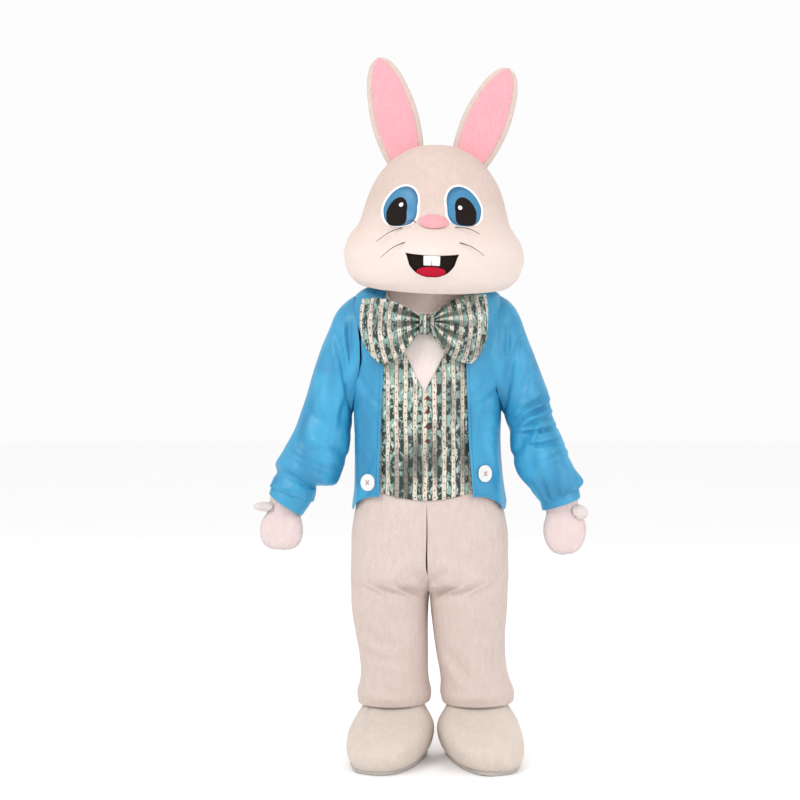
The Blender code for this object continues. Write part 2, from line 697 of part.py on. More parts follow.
def make_head():
    """Returns a cutter, the head grown by a seam's width, that seats the pieces on it."""
    rows = [head_ring(ring) for ring in head_rings()]
    crown = Vector((0.0, 0.0, HEAD_CROWN))
    normals = grid_normals(rows, True, lambda point: Vector((0.0, 0.0, 0.22)), (None, None))
    normals[0] = [Vector((0.0, 0.0, -1.0)) for point in rows[0]]
    shape = bmesh.new()
    skins = []
    for depth in (0.0, FOAM):
        layer = [[shape.verts.new(point - normal * depth) for point, normal in zip(row, line)]
                 for row, line in zip(rows, normals)]
        hub = shape.verts.new(crown - Vector((0.0, 0.0, depth)))
        for low, high in zip(layer, layer[1:]):
            for column in range(HEAD_COLUMNS):
                ahead = (column + 1) % HEAD_COLUMNS
                shape.faces.new((low[column], low[ahead], high[ahead], high[column]))
        for column in range(HEAD_COLUMNS):
            shape.faces.new((layer[-1][column], layer[-1][(column + 1) % HEAD_COLUMNS], hub))
        skins.append(layer)
    for column in range(HEAD_COLUMNS):
        ahead = (column + 1) % HEAD_COLUMNS
        shape.faces.new((skins[0][0][column], skins[0][0][ahead],
                         skins[1][0][ahead], skins[1][0][column]))
    for vert in shape.verts:
        vert.co = pose_head(vert.co)
    front = make_object("head_front", shape, MATERIALS["plush"])
    back = front.copy()
    back.data = front.data.copy()
    back.name = "head_back"
    bpy.context.scene.collection.objects.link(back)
    half = SEAM / 2
    cut(front, box_cutter("behind_seam", (-0.5, HEAD_SEAM_Y - half, -0.2), (0.5, 0.5, 0.8)))
    cut(back, box_cutter("before_seam", (-0.5, -0.5, -0.2), (0.5, HEAD_SEAM_Y + half, 0.8)))
    cut(front, mouth_cutter("mouth_cutter"))
    seat = bmesh.new()
    grown = [[pose_head(point + normal * SEAT) for point, normal in zip(row, line)]
             for row, line in zip(rows, normals)]
    loft(seat, grown, hubs=(None, pose_head(crown + Vector((0.0, 0.0, SEAT)))))
    return make_object("head_seat", seat, MATERIALS["plush"])


def mouth_outline(inset=0.0):
    """The mouth seen from the front, from corner to corner along the top and back below."""
    edge = MOUTH.rows[-1][0] - inset
    xs = [mix(-edge, edge, number / (2 * MOUTH_STEPS)) for number in range(2 * MOUTH_STEPS + 1)]
    top = [(x, MOUTH.at(abs(x), "top") - inset) for x in xs]
    bottom = [(x, MOUTH.at(abs(x), "bottom") + inset) for x in reversed(xs[1:-1])]
    return top + bottom


def mouth_cutter(name):
    shape = bmesh.new()
    rings = [[pose_head(Vector((x, y, z))) for x, z in mouth_outline()] for y in (-0.34, -0.10)]
    loft(shape, rings)
    return make_object(name, shape, MATERIALS["black"])


def on_head(x, z, out=0.0):
    """A place on the front of the head, straight behind (x, z), or 'out' in front of it."""
    y = 0.0
    level = z
    for _ in range(12):
        bow = math.sqrt(max(0.0, 1.0 - (x / HEAD.at(level, "half")) ** 2))
        y = -(HEAD.at(level, "front") + puff_out(x, level) * ease((level - 0.035) / 0.05)) * bow
        level = z - head_drop(y, level)
    return Vector((x, y - out, z))


def patch(name, middle, outline, low, high, material, lift=None, crown=0.0, shares=(1.0, 0.6)):
    """A piece laid on the head from 'low' to 'high' off its skin, crowned in its middle. A
    'lift' is a rise over (x, z) that it shares with the pieces under and over it."""
    shape = bmesh.new()

    def place(x, z, out, share):
        rise = lift(x, z) if lift else crown * (1.0 - share ** 2) * (out == high)
        return shape.verts.new(pose_head(on_head(x, z, out + rise)))

    layers = []
    for out in (low, high):
        rings = [[place(middle[0] + x * share, middle[1] + z * share, out, share)
                  for x, z in outline] for share in shares]
        layers.append((rings, place(middle[0], middle[1], out, 0.0)))
    count = len(outline)
    for rings, hub in layers:
        for wide, narrow in zip(rings, rings[1:]):
            for number in range(count):
                ahead = (number + 1) % count
                shape.faces.new((wide[number], wide[ahead], narrow[ahead], narrow[number]))
        for number in range(count):
            shape.faces.new((rings[-1][number], rings[-1][(number + 1) % count], hub))
    low_edge, high_edge = layers[0][0][0], layers[1][0][0]
    for number in range(count):
        ahead = (number + 1) % count
        shape.faces.new((low_edge[number], low_edge[ahead], high_edge[ahead], high_edge[number]))
    return make_object(name, shape, material)


def oval(wide, tall, count, flat=1.0, lean=0.0):
    """An oval outline, cut flat below at this share of its height and leaning at the top."""
    outline = []
    for number in range(count):
        turn = 2 * math.pi * number / count
        z = max(tall * math.sin(turn), -tall * flat)
        outline.append((wide * math.cos(turn) + lean * z, z))
    return outline


EYE = Table("side x z", (-1, -0.0945, 0.268), (1, 0.0945, 0.266))
EYE_WIDE = 0.050
EYE_TALL = 0.058
EYE_RIM = 0.007
EYE_DOME = 0.004
MOUTH_MIDDLE = 0.080
SEAT = 0.0006
PUPIL = (0.031, 0.040, -0.012)
GLINT = 0.0068
WHISKERS = (("right_upper", -0.073, 0.200, -0.166, 0.152), ("right_lower", -0.066, 0.154, -0.150, 0.104),
            ("right_short", -0.044, 0.206, -0.078, 0.209),
            ("left_upper", 0.047, 0.200, 0.136, 0.184), ("left_lower", 0.060, 0.156, 0.152, 0.120))


def make_face(seat):
    for side, word in ((1, "left"), (-1, "right")):
        middle = (EYE.at(side, "x"), EYE.at(side, "z"))

        def dome(x, z, middle=middle):
            wide = (x - middle[0]) / (EYE_WIDE + EYE_RIM)
            tall = (z - middle[1]) / (EYE_TALL + EYE_RIM)
            return EYE_DOME * max(0.0, 1.0 - wide * wide - tall * tall)

        lean = -0.06 * side
        white = oval(EYE_WIDE + EYE_RIM, EYE_TALL + EYE_RIM, 18, 0.86, lean)
        cut(patch("eye_white_" + word, middle, white, -0.010, 0.0040, MATERIALS["white"], dome), seat)
        patch("eye_iris_" + word, middle, oval(EYE_WIDE, EYE_TALL, 18, 0.86, lean), 0.0048,
              0.0062, MATERIALS["blue"], dome)
        pupil_middle = (middle[0], middle[1] + PUPIL[2])
        patch("eye_pupil_" + word, pupil_middle, oval(PUPIL[0], PUPIL[1], 14, 0.94), 0.0070,
              0.0084, MATERIALS["black"], dome)
        glint_middle = (middle[0] - 0.006, middle[1] + 0.012)
        patch("eye_glint_" + word, glint_middle, oval(GLINT, GLINT, 8), 0.0091, 0.0101,
              MATERIALS["white"], dome, shares=(1.0,))
    cut(patch("nose", (0.0, 0.214), oval(0.043, 0.021, 16), -0.012, 0.006, MATERIALS["pink"],
              crown=0.012), seat)
    lining = [(x, z - MOUTH_MIDDLE) for x, z in mouth_outline(0.0006)]
    patch("mouth_lining", (0.0, MOUTH_MIDDLE), lining, -MOUTH_DEPTH - LINING, -MOUTH_DEPTH,
          MATERIALS["black"])
    patch("tongue", (-0.001, 0.0675), oval(0.038, 0.0125, 14), -MOUTH_DEPTH + 0.0009,
          -MOUTH_DEPTH + 0.0035, MATERIALS["red"], crown=0.002)
    for side, word in ((1, "left"), (-1, "right")):
        tooth = [(-0.0105, -0.014), (0.0105, -0.014), (0.0115, -0.006), (0.0115, 0.0125),
                 (-0.0115, 0.0125), (-0.0115, -0.006)]
        patch("tooth_" + word, (0.0122 * side, 0.0955), tooth, -MOUTH_DEPTH + 0.0009,
              -MOUTH_DEPTH + 0.0055, MATERIALS["white"], shares=(1.0,))
    for word, root_x, root_z, tip_x, tip_z in WHISKERS:
        cut(make_whisker("whisker_" + word, root_x, root_z, tip_x, tip_z), seat)


def make_whisker(name, root_x, root_z, tip_x, tip_z):
    rings = []
    count = 5
    for number in range(count):
        along = number / (count - 1)
        x = mix(root_x, tip_x, along)
        z = mix(root_z, tip_z, along) + 0.008 * math.sin(math.pi * along)
        middle = on_head(x, z, mix(-0.010, 0.020, min(1.0, along * 1.6)))
        radius = mix(0.0016, 0.0009, along)
        ring = []
        for corner in range(4):
            turn = math.pi / 2 * corner
            ring.append(pose_head(middle + Vector((0.0, radius * math.cos(turn),
                                                   radius * math.sin(turn)))))
        rings.append(ring)
    shape = bmesh.new()
    loft(shape, rings)
    return make_object(name, shape, MATERIALS["black"])


# The neck skirt hangs from the head's hole and goes inside the jumpsuit's neckline
SKIRT_COLUMNS = 20
SKIRT_GAP = 0.0012


def make_neck_skirt():
    top, bottom = [], []
    z, half, front, back = HEAD_HOLE
    for number in range(SKIRT_COLUMNS):
        turn = 2 * math.pi * number / SKIRT_COLUMNS
        across = math.sin(turn)
        face = -1 if across > 0.0 else 1
        y = -across * ((front if face < 0 else back) - SKIRT_GAP)
        x = (half - SKIRT_GAP) * math.cos(turn)
        top.append(pose_head(Vector((x, y, z + head_drop(y, z) + 0.008))))
        angle = math.acos(abs(math.cos(turn)))
        edge_z = NECKLINE.at(angle, "front" if face < 0 else "back")
        edge = body_section(edge_z, angle, 1 if math.cos(turn) >= 0.0 else -1, face)
        shrink = 1.0 - (PLUSH + 0.0012) / Vector((edge.x, edge.y)).length
        bottom.append(pose_body(Vector((edge.x * shrink, edge.y * shrink, edge.z - 0.012))))
    rows = []
    for inward, down in ((0.0, 0.0), (0.0, 0.42), (0.6, 0.72), (1.0, 1.0)):
        rows.append([Vector((mix(high.x, low.x, inward), mix(high.y, low.y, inward),
                             mix(high.z, low.z, down))) for high, low in zip(top, bottom)])
    return cloth("head_neck_skirt", rows, 0.003, MATERIALS["plush"], closed=True,
                 inside=ring_centres(rows), pose=unposed)


# Ears: foam bodies seated on the crown, each with a pink piece on its front
EAR_POINTS = 12
EAR = Table("along half thick",
            (0.00, 0.060, 0.017), (0.10, 0.067, 0.017), (0.25, 0.0725, 0.016),
            (0.40, 0.0740, 0.015), (0.55, 0.0700, 0.014), (0.70, 0.0620, 0.013),
            (0.82, 0.0520, 0.012), (0.92, 0.0360, 0.010), (0.975, 0.0190, 0.007))
EAR_PLACES = {1: ((0.1009, 0.0, 0.440), (0.2112, -0.010, 0.7205)),
              -1: ((-0.1006, 0.0, 0.440), (-0.1910, -0.010, 0.7400))}
EAR_RIM = 0.019
EAR_STEPS = (-0.06, 0.08, 0.20, 0.34, 0.46, 0.58, 0.70, 0.81, 0.90, 0.955, 0.99)
EAR_INNER_OUT = 0.0034


def ear_frame(side):
    base, tip = (Vector(place) for place in EAR_PLACES[side])
    axis = tip - base
    across = Vector((axis.z, 0.0, -axis.x)).normalized()
    return base, axis, across


def ear_point(side, along, share, out=0.0, face=-1):
    """'share' runs from -1 to 1 over the ear's width; the front is hollowed a little."""
    base, axis, across = ear_frame(side)
    half = EAR.at(along, "half")
    thick = EAR.at(along, "thick") + out
    swell = math.sqrt(max(0.0, 1.0 - share * share)) ** 0.8
    return (base + axis * along + across * half * share
            + Vector((0.0, face * thick * swell, 0.0)))


def make_ear(word, side, seat):
    base, axis, across = ear_frame(side)
    outline = []
    for number in range(EAR_POINTS):
        turn = 2 * math.pi * number / EAR_POINTS
        outline.append((math.cos(turn), -1 if math.sin(turn) >= 0.0 else 1))
    rings = [[pose_head(ear_point(side, along, share, 0.0, face)) for share, face in outline]
             for along in EAR_STEPS]
    shape = bmesh.new()
    loft(shape, rings, hubs=(None, pose_head(base + axis * 1.005)))
    cut(make_object("ear_" + word, shape, MATERIALS["plush"]), seat)
    rows = []
    for along in EAR_STEPS[2:-1]:
        edge = max(0.06, 1.0 - EAR_RIM / EAR.at(along, "half"))
        rows.append([ear_point(side, along, share * edge, EAR_INNER_OUT) for share in
                     (-1.0, -0.6, -0.2, 0.2, 0.6, 1.0)])
    cloth("ear_inner_" + word, rows, FELT, MATERIALS["pink"],
          inside=lambda point: point + Vector((0.0, 0.1, 0.0)), pose=pose_head)


# Gloves: plush mitts, open at the wrist, palms to the front
GLOVE = Table("along half deep", (0.000, 0.044, 0.038), (0.022, 0.049, 0.040),
              (0.042, 0.057, 0.040), (0.062, 0.064, 0.039), (0.085, 0.066, 0.037),
              (0.106, 0.059, 0.032),
              (0.125, 0.044, 0.025), (0.137, 0.024, 0.016), (0.1415, 0.006, 0.006))
GLOVE_STEPS = (0.022, 0.048, 0.080, 0.108, 0.128, 0.139)
GLOVE_WALL = 0.003
GLOVE_CUFF_STEP = 1.4
GLOVE_COLUMNS = 8
HANDS = {1: ((0.4240, -0.038, -0.6250), (0.446, -0.046, -0.786)),
         -1: ((-0.4235, -0.038, -0.6270), (-0.444, -0.046, -0.770))}
THUMBS = {1: (0.508, -0.060, -0.668), -1: (-0.529, -0.060, -0.652)}
THUMB_RINGS = ((0.0, 0.020), (0.45, 0.021), (0.72, 0.019), (0.90, 0.014), (0.985, 0.006))
THUMB_POINTS = 10


def glove_point(side, along, turn, face, out=0.0):
    wrist, tip = (Vector(place) for place in HANDS[side])
    axis = (tip - wrist).normalized()
    across = Vector((-axis.z, 0.0, axis.x)).normalized()
    depth = across.cross(axis).normalized()
    if depth.y > 0.0:
        depth = -depth
    half = GLOVE.at(along, "half") + out
    deep = GLOVE.at(along, "deep") + out
    return (wrist + axis * along + across * half * power(math.cos(turn), 0.9)
            - depth * face * (deep * power(math.sin(turn), 0.9) + SEAM / 2))


def glove_rows(side, cuff, face):
    """The wrist's edge lies just inside the cuff, and the mitt swells below it."""
    wrist = []
    for number in range(GLOVE_COLUMNS + 1):
        turn = math.pi * number / GLOVE_COLUMNS
        around = turn if side > 0 else math.pi - turn
        place = sleeve_place(cuff, GLOVE_CUFF_STEP, around, -(SATIN + 0.0012))
        middle_y = -cuff.at(GLOVE_CUFF_STEP, "forward")
        place.y = middle_y - face * (place.y - middle_y) + face * SEAM / 2
        wrist.append(place)
    rows = [wrist]
    for along in GLOVE_STEPS:
        rows.append([glove_point(side, along, math.pi * number / GLOVE_COLUMNS, face)
                     for number in range(GLOVE_COLUMNS + 1)])
    return rows


def make_glove(word, side, cuff):
    """Returns a cutter, the mitt grown by a seam's width, that seats its thumb."""
    palm = glove_rows(side, cuff, -1)
    back = glove_rows(side, cuff, 1)
    whole = [low + high[-2:0:-1] for low, high in zip(palm, back)]
    for rows, part, material in ((palm, "palm", "palm_plush"), (back, "back", "plush")):
        cloth("glove_%s_%s" % (part, word), rows, GLOVE_WALL, MATERIALS[material],
              inside=ring_centres(whole), seams=(1, 1), pose=unposed)
    normals = grid_normals(whole, True, ring_centres(whole), (None, None))
    grown = [[point + normal * SEAT * 1.5 for point, normal in zip(row, line)]
             for row, line in zip(whole, normals)]
    shape = bmesh.new()
    loft(shape, grown)
    return make_object("glove_seat_" + word, shape, MATERIALS["plush"])


def make_thumb(word, side, seat):
    wrist, tip = (Vector(place) for place in HANDS[side])
    root = wrist.lerp(tip, 0.24) + Vector((side * 0.012, -0.004, 0.0))
    end = Vector(THUMBS[side])
    axis = (end - root).normalized()
    up = axis.cross(Vector((0.0, 1.0, 0.0))).normalized()
    rings = []
    for share, radius in THUMB_RINGS:
        ring = []
        for number in range(THUMB_POINTS):
            turn = 2 * math.pi * number / THUMB_POINTS
            spoke = up * math.cos(turn) + Vector((0.0, 1.0, 0.0)) * math.sin(turn)
            ring.append(root + (end - root) * share + spoke * radius)
        rings.append(ring)
    cut(cloth("glove_thumb_" + word, rings, GLOVE_WALL, MATERIALS["plush"], closed=True,
              inside=ring_centres(rings), pose=unposed), seat)


# Feet: plush boots with a flat sole, toes turned out, their tops inside the trouser legs
FOOT_WALL = 0.006
SOLE_TOP = 0.013
FOOT = Table("height half front back",
             (0.0136, 0.106, 0.242, 0.068), (0.035, 0.118, 0.256, 0.078),
             (0.060, 0.125, 0.258, 0.082), (0.085, 0.128, 0.244, 0.082),
             (0.108, 0.121, 0.196, 0.080), (0.128, 0.111, 0.144, 0.078),
             (0.145, 0.100, 0.092, 0.078), (0.160, 0.092, 0.064, 0.078),
             (0.172, 0.093, 0.062, 0.080))
FOOT_TOP = 0.190
TOP_INSET = PLUSH + 0.0046
FOOT_STEPS = (0.0136, 0.035, 0.066, 0.096, 0.122, 0.145, 0.164)
FOOT_COLUMNS = 10
FOOT_SEAM_Y = -0.016
FOOT_SQUARE = {-1: 0.80, 1: 0.92}
TOE_OUT = {1: math.radians(11.0), -1: math.radians(14.0)}


def ankle_x(side):
    return side * BODY.at(FLOOR + FOOT_TOP, "centre")


def foot_point(side, height, turn, face, inset=0.0):
    square = FOOT_SQUARE[face]
    across = (FOOT.at(height, "half") - inset) * power(math.cos(turn), square)
    reach = (FOOT.at(height, "front" if face < 0 else "back") - inset) * power(math.sin(turn), square)
    return Vector((ankle_x(side) + across, FOOT_SEAM_Y + face * (reach + SEAM / 2), FLOOR + height))


def foot_top_point(side, turn, face):
    """The boot's top edge, an oval just inside the trouser leg and cut at the boot's seam."""
    z = FLOOR + FOOT_TOP
    square = BODY.at(z, "square")
    front = BODY.at(z, "front") - TOP_INSET
    seam_y = FOOT_SEAM_Y + face * SEAM / 2
    start = math.asin((-seam_y / front) ** (1.0 / square))
    angle = mix(-face * start, math.pi + face * start, turn / math.pi)
    forward = face < 0 or math.sin(angle) < 0.0
    reach = -front if forward else BODY.at(z, "back") - TOP_INSET
    across = (BODY.at(z, "half") - TOP_INSET) * power(math.cos(angle), square)
    return Vector((ankle_x(side) + across, reach * abs(math.sin(angle)) ** square, z))


def pose_foot(side):
    """The toes turn out, and the boot's top follows the trouser leg."""
    def pose(point):
        share = ease((point.z - FLOOR) / FOOT_TOP)
        ankle = Vector((ankle_x(side), 0.0, point.z))
        turned = Matrix.Rotation(TOE_OUT[side] * side * (1.0 - share), 3, "Z") @ (point - ankle)
        turned.x += LEAN.at(FLOOR + FOOT_TOP, "x") + TURN * turned.y * share
        return turned + ankle
    return pose


def make_foot(word, side):
    for face, part in ((-1, "vamp"), (1, "heel")):
        rows = [[foot_point(side, height, math.pi * number / FOOT_COLUMNS, face)
                 for number in range(FOOT_COLUMNS + 1)] for height in FOOT_STEPS]
        rows.append([foot_top_point(side, math.pi * number / FOOT_COLUMNS, face)
                     for number in range(FOOT_COLUMNS + 1)])
        cloth("foot_%s_%s" % (part, word), rows, FOOT_WALL, MATERIALS["plush"],
              inside=lambda point: Vector((ankle_x(side), FOOT_SEAM_Y, point.z)), seams=(1, 1),
              pose=pose_foot(side))
    shape = bmesh.new()
    rings = []
    for height, inset in ((0.0, 0.006), (SOLE_TOP, 0.001)):
        ring = []
        for face, numbers in ((-1, range(FOOT_COLUMNS)), (1, range(FOOT_COLUMNS, 0, -1))):
            for number in numbers:
                point = foot_point(side, FOOT_STEPS[0], math.pi * number / FOOT_COLUMNS, face, inset)
                point.z = FLOOR + height
                ring.append(pose_foot(side)(point))
        rings.append(ring)
    loft(shape, rings)
    make_object("foot_sole_" + word, shape, MATERIALS["sole"])


MATERIALS = {}


def make_materials():
    MATERIALS.update(
        plush=make_material("cream_plush", (0.90, 0.82, 0.77), 0.95, 0.3),
        satin_blue=make_material("blue_satin", (0.05, 0.36, 0.66), 0.42),
        satin_stripe=make_material("striped_satin", (0.55, 0.66, 0.60), 0.45),
        palm_plush=make_material("palm_plush", (0.94, 0.80, 0.78), 0.95, 0.3),
        pink=make_material("pink_plush", (0.95, 0.55, 0.60), 0.95, 0.3),
        white=make_material("white_plastic", (0.95, 0.95, 0.95), 0.35),
        blue=make_material("blue_iris", (0.05, 0.30, 0.50), 0.30),
        black=make_material("black_felt", (0.02, 0.015, 0.015), 0.6),
        red=make_material("red_felt", (0.60, 0.01, 0.06), 0.7),
        dark_red=make_material("dark_red_plastic", (0.25, 0.02, 0.03), 0.4),
        sole=make_material("grey_sole", (0.45, 0.43, 0.42), 0.9))


def main():
    for item in list(bpy.data.objects):
        bpy.data.objects.remove(item, do_unlink=True)
    make_materials()
    make_jumpsuit()
    jacket_front("jacket_front_left", 1)
    jacket_front("jacket_front_right", -1)
    jacket_back("jacket_back")
    make_sleeve("left", 1, SLEEVE_LEFT, CUFF_LEFT)
    make_sleeve("right", -1, SLEEVE_RIGHT, CUFF_RIGHT)
    vest_front("vest_front_left", 1)
    vest_front("vest_front_right", -1)
    bow_loop("bow_loop_left", 1, BOW_LEFT)
    bow_loop("bow_loop_right", -1, BOW_RIGHT)
    bow_knot("bow_knot")
    seat = make_head()
    make_face(seat)
    make_neck_skirt()
    for side, word, cuff in ((1, "left", CUFF_LEFT), (-1, "right", CUFF_RIGHT)):
        make_ear(word, side, seat)
        make_thumb(word, side, make_glove(word, side, cuff))
        make_foot(word, side)
    make_button("jacket_button_left", 0.167, -0.529, JACKET_BUTTON_OUT, JACKET_BUTTON_RADIUS,
                0.005, True, MATERIALS["white"])
    make_button("jacket_button_right", -0.166, -0.556, JACKET_BUTTON_OUT, JACKET_BUTTON_RADIUS,
                0.005, True, MATERIALS["white"])
    for number, z in enumerate(VEST_BUTTON_HEIGHTS, 1):
        make_button("vest_button_%d" % number, 0.010, z, VEST_GAP + SATIN + 0.0008,
                    VEST_BUTTON_RADIUS, 0.003, False, MATERIALS["dark_red"])


main()
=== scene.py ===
import math

import bmesh
import bpy
from mathutils import Matrix, Vector, noise
from mathutils.bvhtree import BVHTree


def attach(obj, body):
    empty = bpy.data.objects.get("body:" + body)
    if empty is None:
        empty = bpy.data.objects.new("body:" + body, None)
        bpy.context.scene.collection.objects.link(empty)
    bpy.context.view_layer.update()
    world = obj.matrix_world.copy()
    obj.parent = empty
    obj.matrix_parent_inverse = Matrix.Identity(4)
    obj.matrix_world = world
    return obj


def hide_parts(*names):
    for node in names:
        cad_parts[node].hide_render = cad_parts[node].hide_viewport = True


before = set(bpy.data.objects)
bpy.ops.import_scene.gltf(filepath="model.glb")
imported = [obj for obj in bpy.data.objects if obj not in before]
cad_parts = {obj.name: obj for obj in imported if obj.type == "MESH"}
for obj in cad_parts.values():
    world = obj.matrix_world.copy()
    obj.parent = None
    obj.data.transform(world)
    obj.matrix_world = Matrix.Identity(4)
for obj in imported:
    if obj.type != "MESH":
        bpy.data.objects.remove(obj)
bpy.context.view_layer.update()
print("frame loaded:", len(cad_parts), "nodes")

collection = bpy.context.scene.collection
sides = ("left", "right")
pieces = {}
groups = {}


# small helpers

def soften(share):
    share = min(max(share, 0.0), 1.0)
    return share * share * (3.0 - 2.0 * share)


def between(low, high, share):
    return low + (high - low) * share


def through(rows, place):
    # reads a table of rows smoothly, place 0 is the first row and 1 the last
    spot = min(max(place, 0.0), 1.0) * (len(rows) - 1)
    low = min(int(spot), len(rows) - 2)
    share = spot - low
    before, after = rows[max(low - 1, 0)], rows[min(low + 2, len(rows) - 1)]
    values = []
    for a, b, c, d in zip(before, rows[low], rows[low + 1], after):
        values.append(0.5 * (2 * b + (c - a) * share + (2 * a - 5 * b + 4 * c - d) * share ** 2
                             + (3 * b - a - 3 * c + d) * share ** 3))
    return values


def addObject(name, mesh, material):
    piece = bpy.data.objects.new(name, mesh)
    collection.objects.link(piece)
    mesh.materials.clear()
    mesh.materials.append(material)
    pieces[name] = piece
    return piece


def meshFrom(shape, name):
    mesh = bpy.data.meshes.new(name)
    shape.to_mesh(mesh)
    shape.free()
    return mesh


def turnOutward(shape):
    bmesh.ops.recalc_face_normals(shape, faces=shape.faces)


def middleOf(piece):
    spots = piece.data.vertices
    return sum((vert.co for vert in spots), Vector()) / len(spots)


def settle(piece):
    # turns the live modifiers into the piece's own mesh
    graph = bpy.context.evaluated_depsgraph_get()
    graph.update()
    mesh = bpy.data.meshes.new_from_object(piece.evaluated_get(graph))
    piece.modifiers.clear()
    piece.data = mesh
    mesh.shade_smooth()
    mesh.set_sharp_from_angle(angle=math.radians(50.0))


# cloth and plastic finishes

def feed(tree, node, values):
    # each socket is linked to another node's output, or set to a number, a vector or a colour
    for label, value in values.items():
        socket = node.inputs[label]
        if isinstance(value, bpy.types.NodeSocket):
            tree.links.new(value, socket)
        else:
            socket.default_value = (*value, 1.0) if socket.type == "RGBA" else value
    return node


def addNode(tree, kind, values):
    return feed(tree, tree.nodes.new(kind), values)


def nodeGroup(name, inputs, outputs=("Colour", "Roughness", "Height")):
    # an input with no value is a vector, one with three values is a colour
    group = bpy.data.node_groups.new(name, "ShaderNodeTree")
    for label, value in inputs.items():
        kind = "NodeSocketVector" if value is None else "NodeSocketFloat"
        if isinstance(value, tuple):
            kind, value = "NodeSocketColor", (*value, 1.0)
        socket = group.interface.new_socket(name=label, in_out="INPUT", socket_type=kind)
        if value is not None:
            socket.default_value = value
    for label in outputs:
        kind = "NodeSocketColor" if label == "Colour" else "NodeSocketFloat"
        group.interface.new_socket(name=label, in_out="OUTPUT", socket_type=kind)
    groups[name] = group
    entry = group.nodes.new("NodeGroupInput")
    return group, entry.outputs, group.nodes.new("NodeGroupOutput")


def noiseNode(tree, vector, scale, detail=2.0, roughness=0.5, distortion=0.0):
    values = {"Vector": vector, "Scale": scale, "Detail": detail, "Roughness": roughness,
              "Distortion": distortion}
    return addNode(tree, "ShaderNodeTexNoise", values).outputs["Fac"]


def stretchNode(tree, vector, scale):
    values = {"Vector": vector, "Scale": scale}
    return addNode(tree, "ShaderNodeMapping", values).outputs["Vector"]


def mathNode(tree, operation, *values):
    node = tree.nodes.new("ShaderNodeMath")
    node.operation = operation
    return feed(tree, node, dict(enumerate(values))).outputs[0]


def rangeNode(tree, value, low, high, start=0.0, end=1.0):
    values = {"Value": value, "From Min": low, "From Max": high, "To Min": start, "To Max": end}
    return addNode(tree, "ShaderNodeMapRange", values).outputs["Result"]


def splitNode(tree, vector):
    return addNode(tree, "ShaderNodeSeparateXYZ", {"Vector": vector}).outputs


def markNode(tree, name):
    # reads the values that a piece's points carry under this name
    node = tree.nodes.new("ShaderNodeAttribute")
    node.attribute_name = name
    return node.outputs["Fac"]


def mixColour(tree, share, first, second):
    # the node has sockets for several kinds of value, so its colour ones are found here
    node = tree.nodes.new("ShaderNodeMix")
    node.data_type = "RGBA"
    before, after = [n for n, socket in enumerate(node.inputs) if socket.type == "RGBA"]
    feed(tree, node, {0: share, before: first, after: second})
    return next(socket for socket in node.outputs if socket.type == "RGBA")


def buildPlushPile():
    group, given, leave = nodeGroup(
        "plushPile", {"Vector": None, "Tips": (1.0, 1.0, 1.0), "Roots": (0.5, 0.5, 0.5),
                      "Fibre": 700.0, "Tuft": 70.0, "Nap": 0.5}, ("Colour", "Height"))
    lying = stretchNode(group, given["Vector"], (1.0, 1.0, 0.30))
    fibre = noiseNode(group, lying, given["Fibre"], 2.0, 0.6)
    tuft = noiseNode(group, lying, given["Tuft"], 3.0, 0.65, 0.4)
    broad = noiseNode(group, given["Vector"], 6.0)
    pile = mathNode(group, "MULTIPLY_ADD", tuft, given["Nap"], fibre)
    tone = rangeNode(group, broad, 0.3, 0.7, 0.0, 0.22)
    rough = mixColour(group, rangeNode(group, pile, 0.45, 1.05), given["Roots"], given["Tips"])
    feed(group, leave, {"Colour": mixColour(group, tone, rough, given["Roots"]), "Height": pile})


def buildSatinWeave():
    group, given, leave = nodeGroup(
        "satinWeave", {"Vector": None, "Light": (1.0, 1.0, 1.0), "Deep": (0.5, 0.5, 0.5),
                       "Wrinkle": 9.0})
    vector = given["Vector"]
    threads = noiseNode(group, stretchNode(group, vector, (1.0, 1.0, 0.06)), 900.0, 2.0, 0.6)
    slub = noiseNode(group, stretchNode(group, vector, (0.15, 0.15, 1.0)), 260.0, 2.0, 0.6)
    wrinkle = noiseNode(group, stretchNode(group, vector, (1.0, 1.0, 0.55)), given["Wrinkle"],
                        3.0, 0.5, 0.9)
    # painted sheen and shade: the colour runs from the shaded tone in the wrinkles' hollows to the
    # lit tone on their crests and along the threads
    sheen = mathNode(group, "MULTIPLY_ADD", threads, 0.35, wrinkle)
    fine = mathNode(group, "MULTIPLY_ADD", threads, 0.03, mathNode(group, "MULTIPLY", slub, 0.02))
    feed(group, leave, {
        "Colour": mixColour(group, rangeNode(group, sheen, 0.45, 0.85), given["Deep"],
                            given["Light"]),
        "Roughness": rangeNode(group, slub, 0.3, 0.7, 0.36, 0.50),
        "Height": mathNode(group, "ADD", wrinkle, fine)})


# deep is painted reflection for the dark blotches, bright is painted highlight and shade is painted
# shade; the other colours are the cloth's own
stripeColours = {
    "cream": (0.62, 0.55, 0.46), "edge": (0.11, 0.050, 0.036), "green": (0.24, 0.39, 0.335),
    "deep": (0.002, 0.018, 0.012), "bright": (0.80, 0.84, 0.80), "shade": (0.020, 0.028, 0.024),
    "dot": (0.060, 0.010, 0.012),
    # where each band of a stripe starts
    "bands": ((0.00, "cream"), (0.38, "edge"), (0.44, "green"), (0.90, "edge"), (0.96, "cream"))}


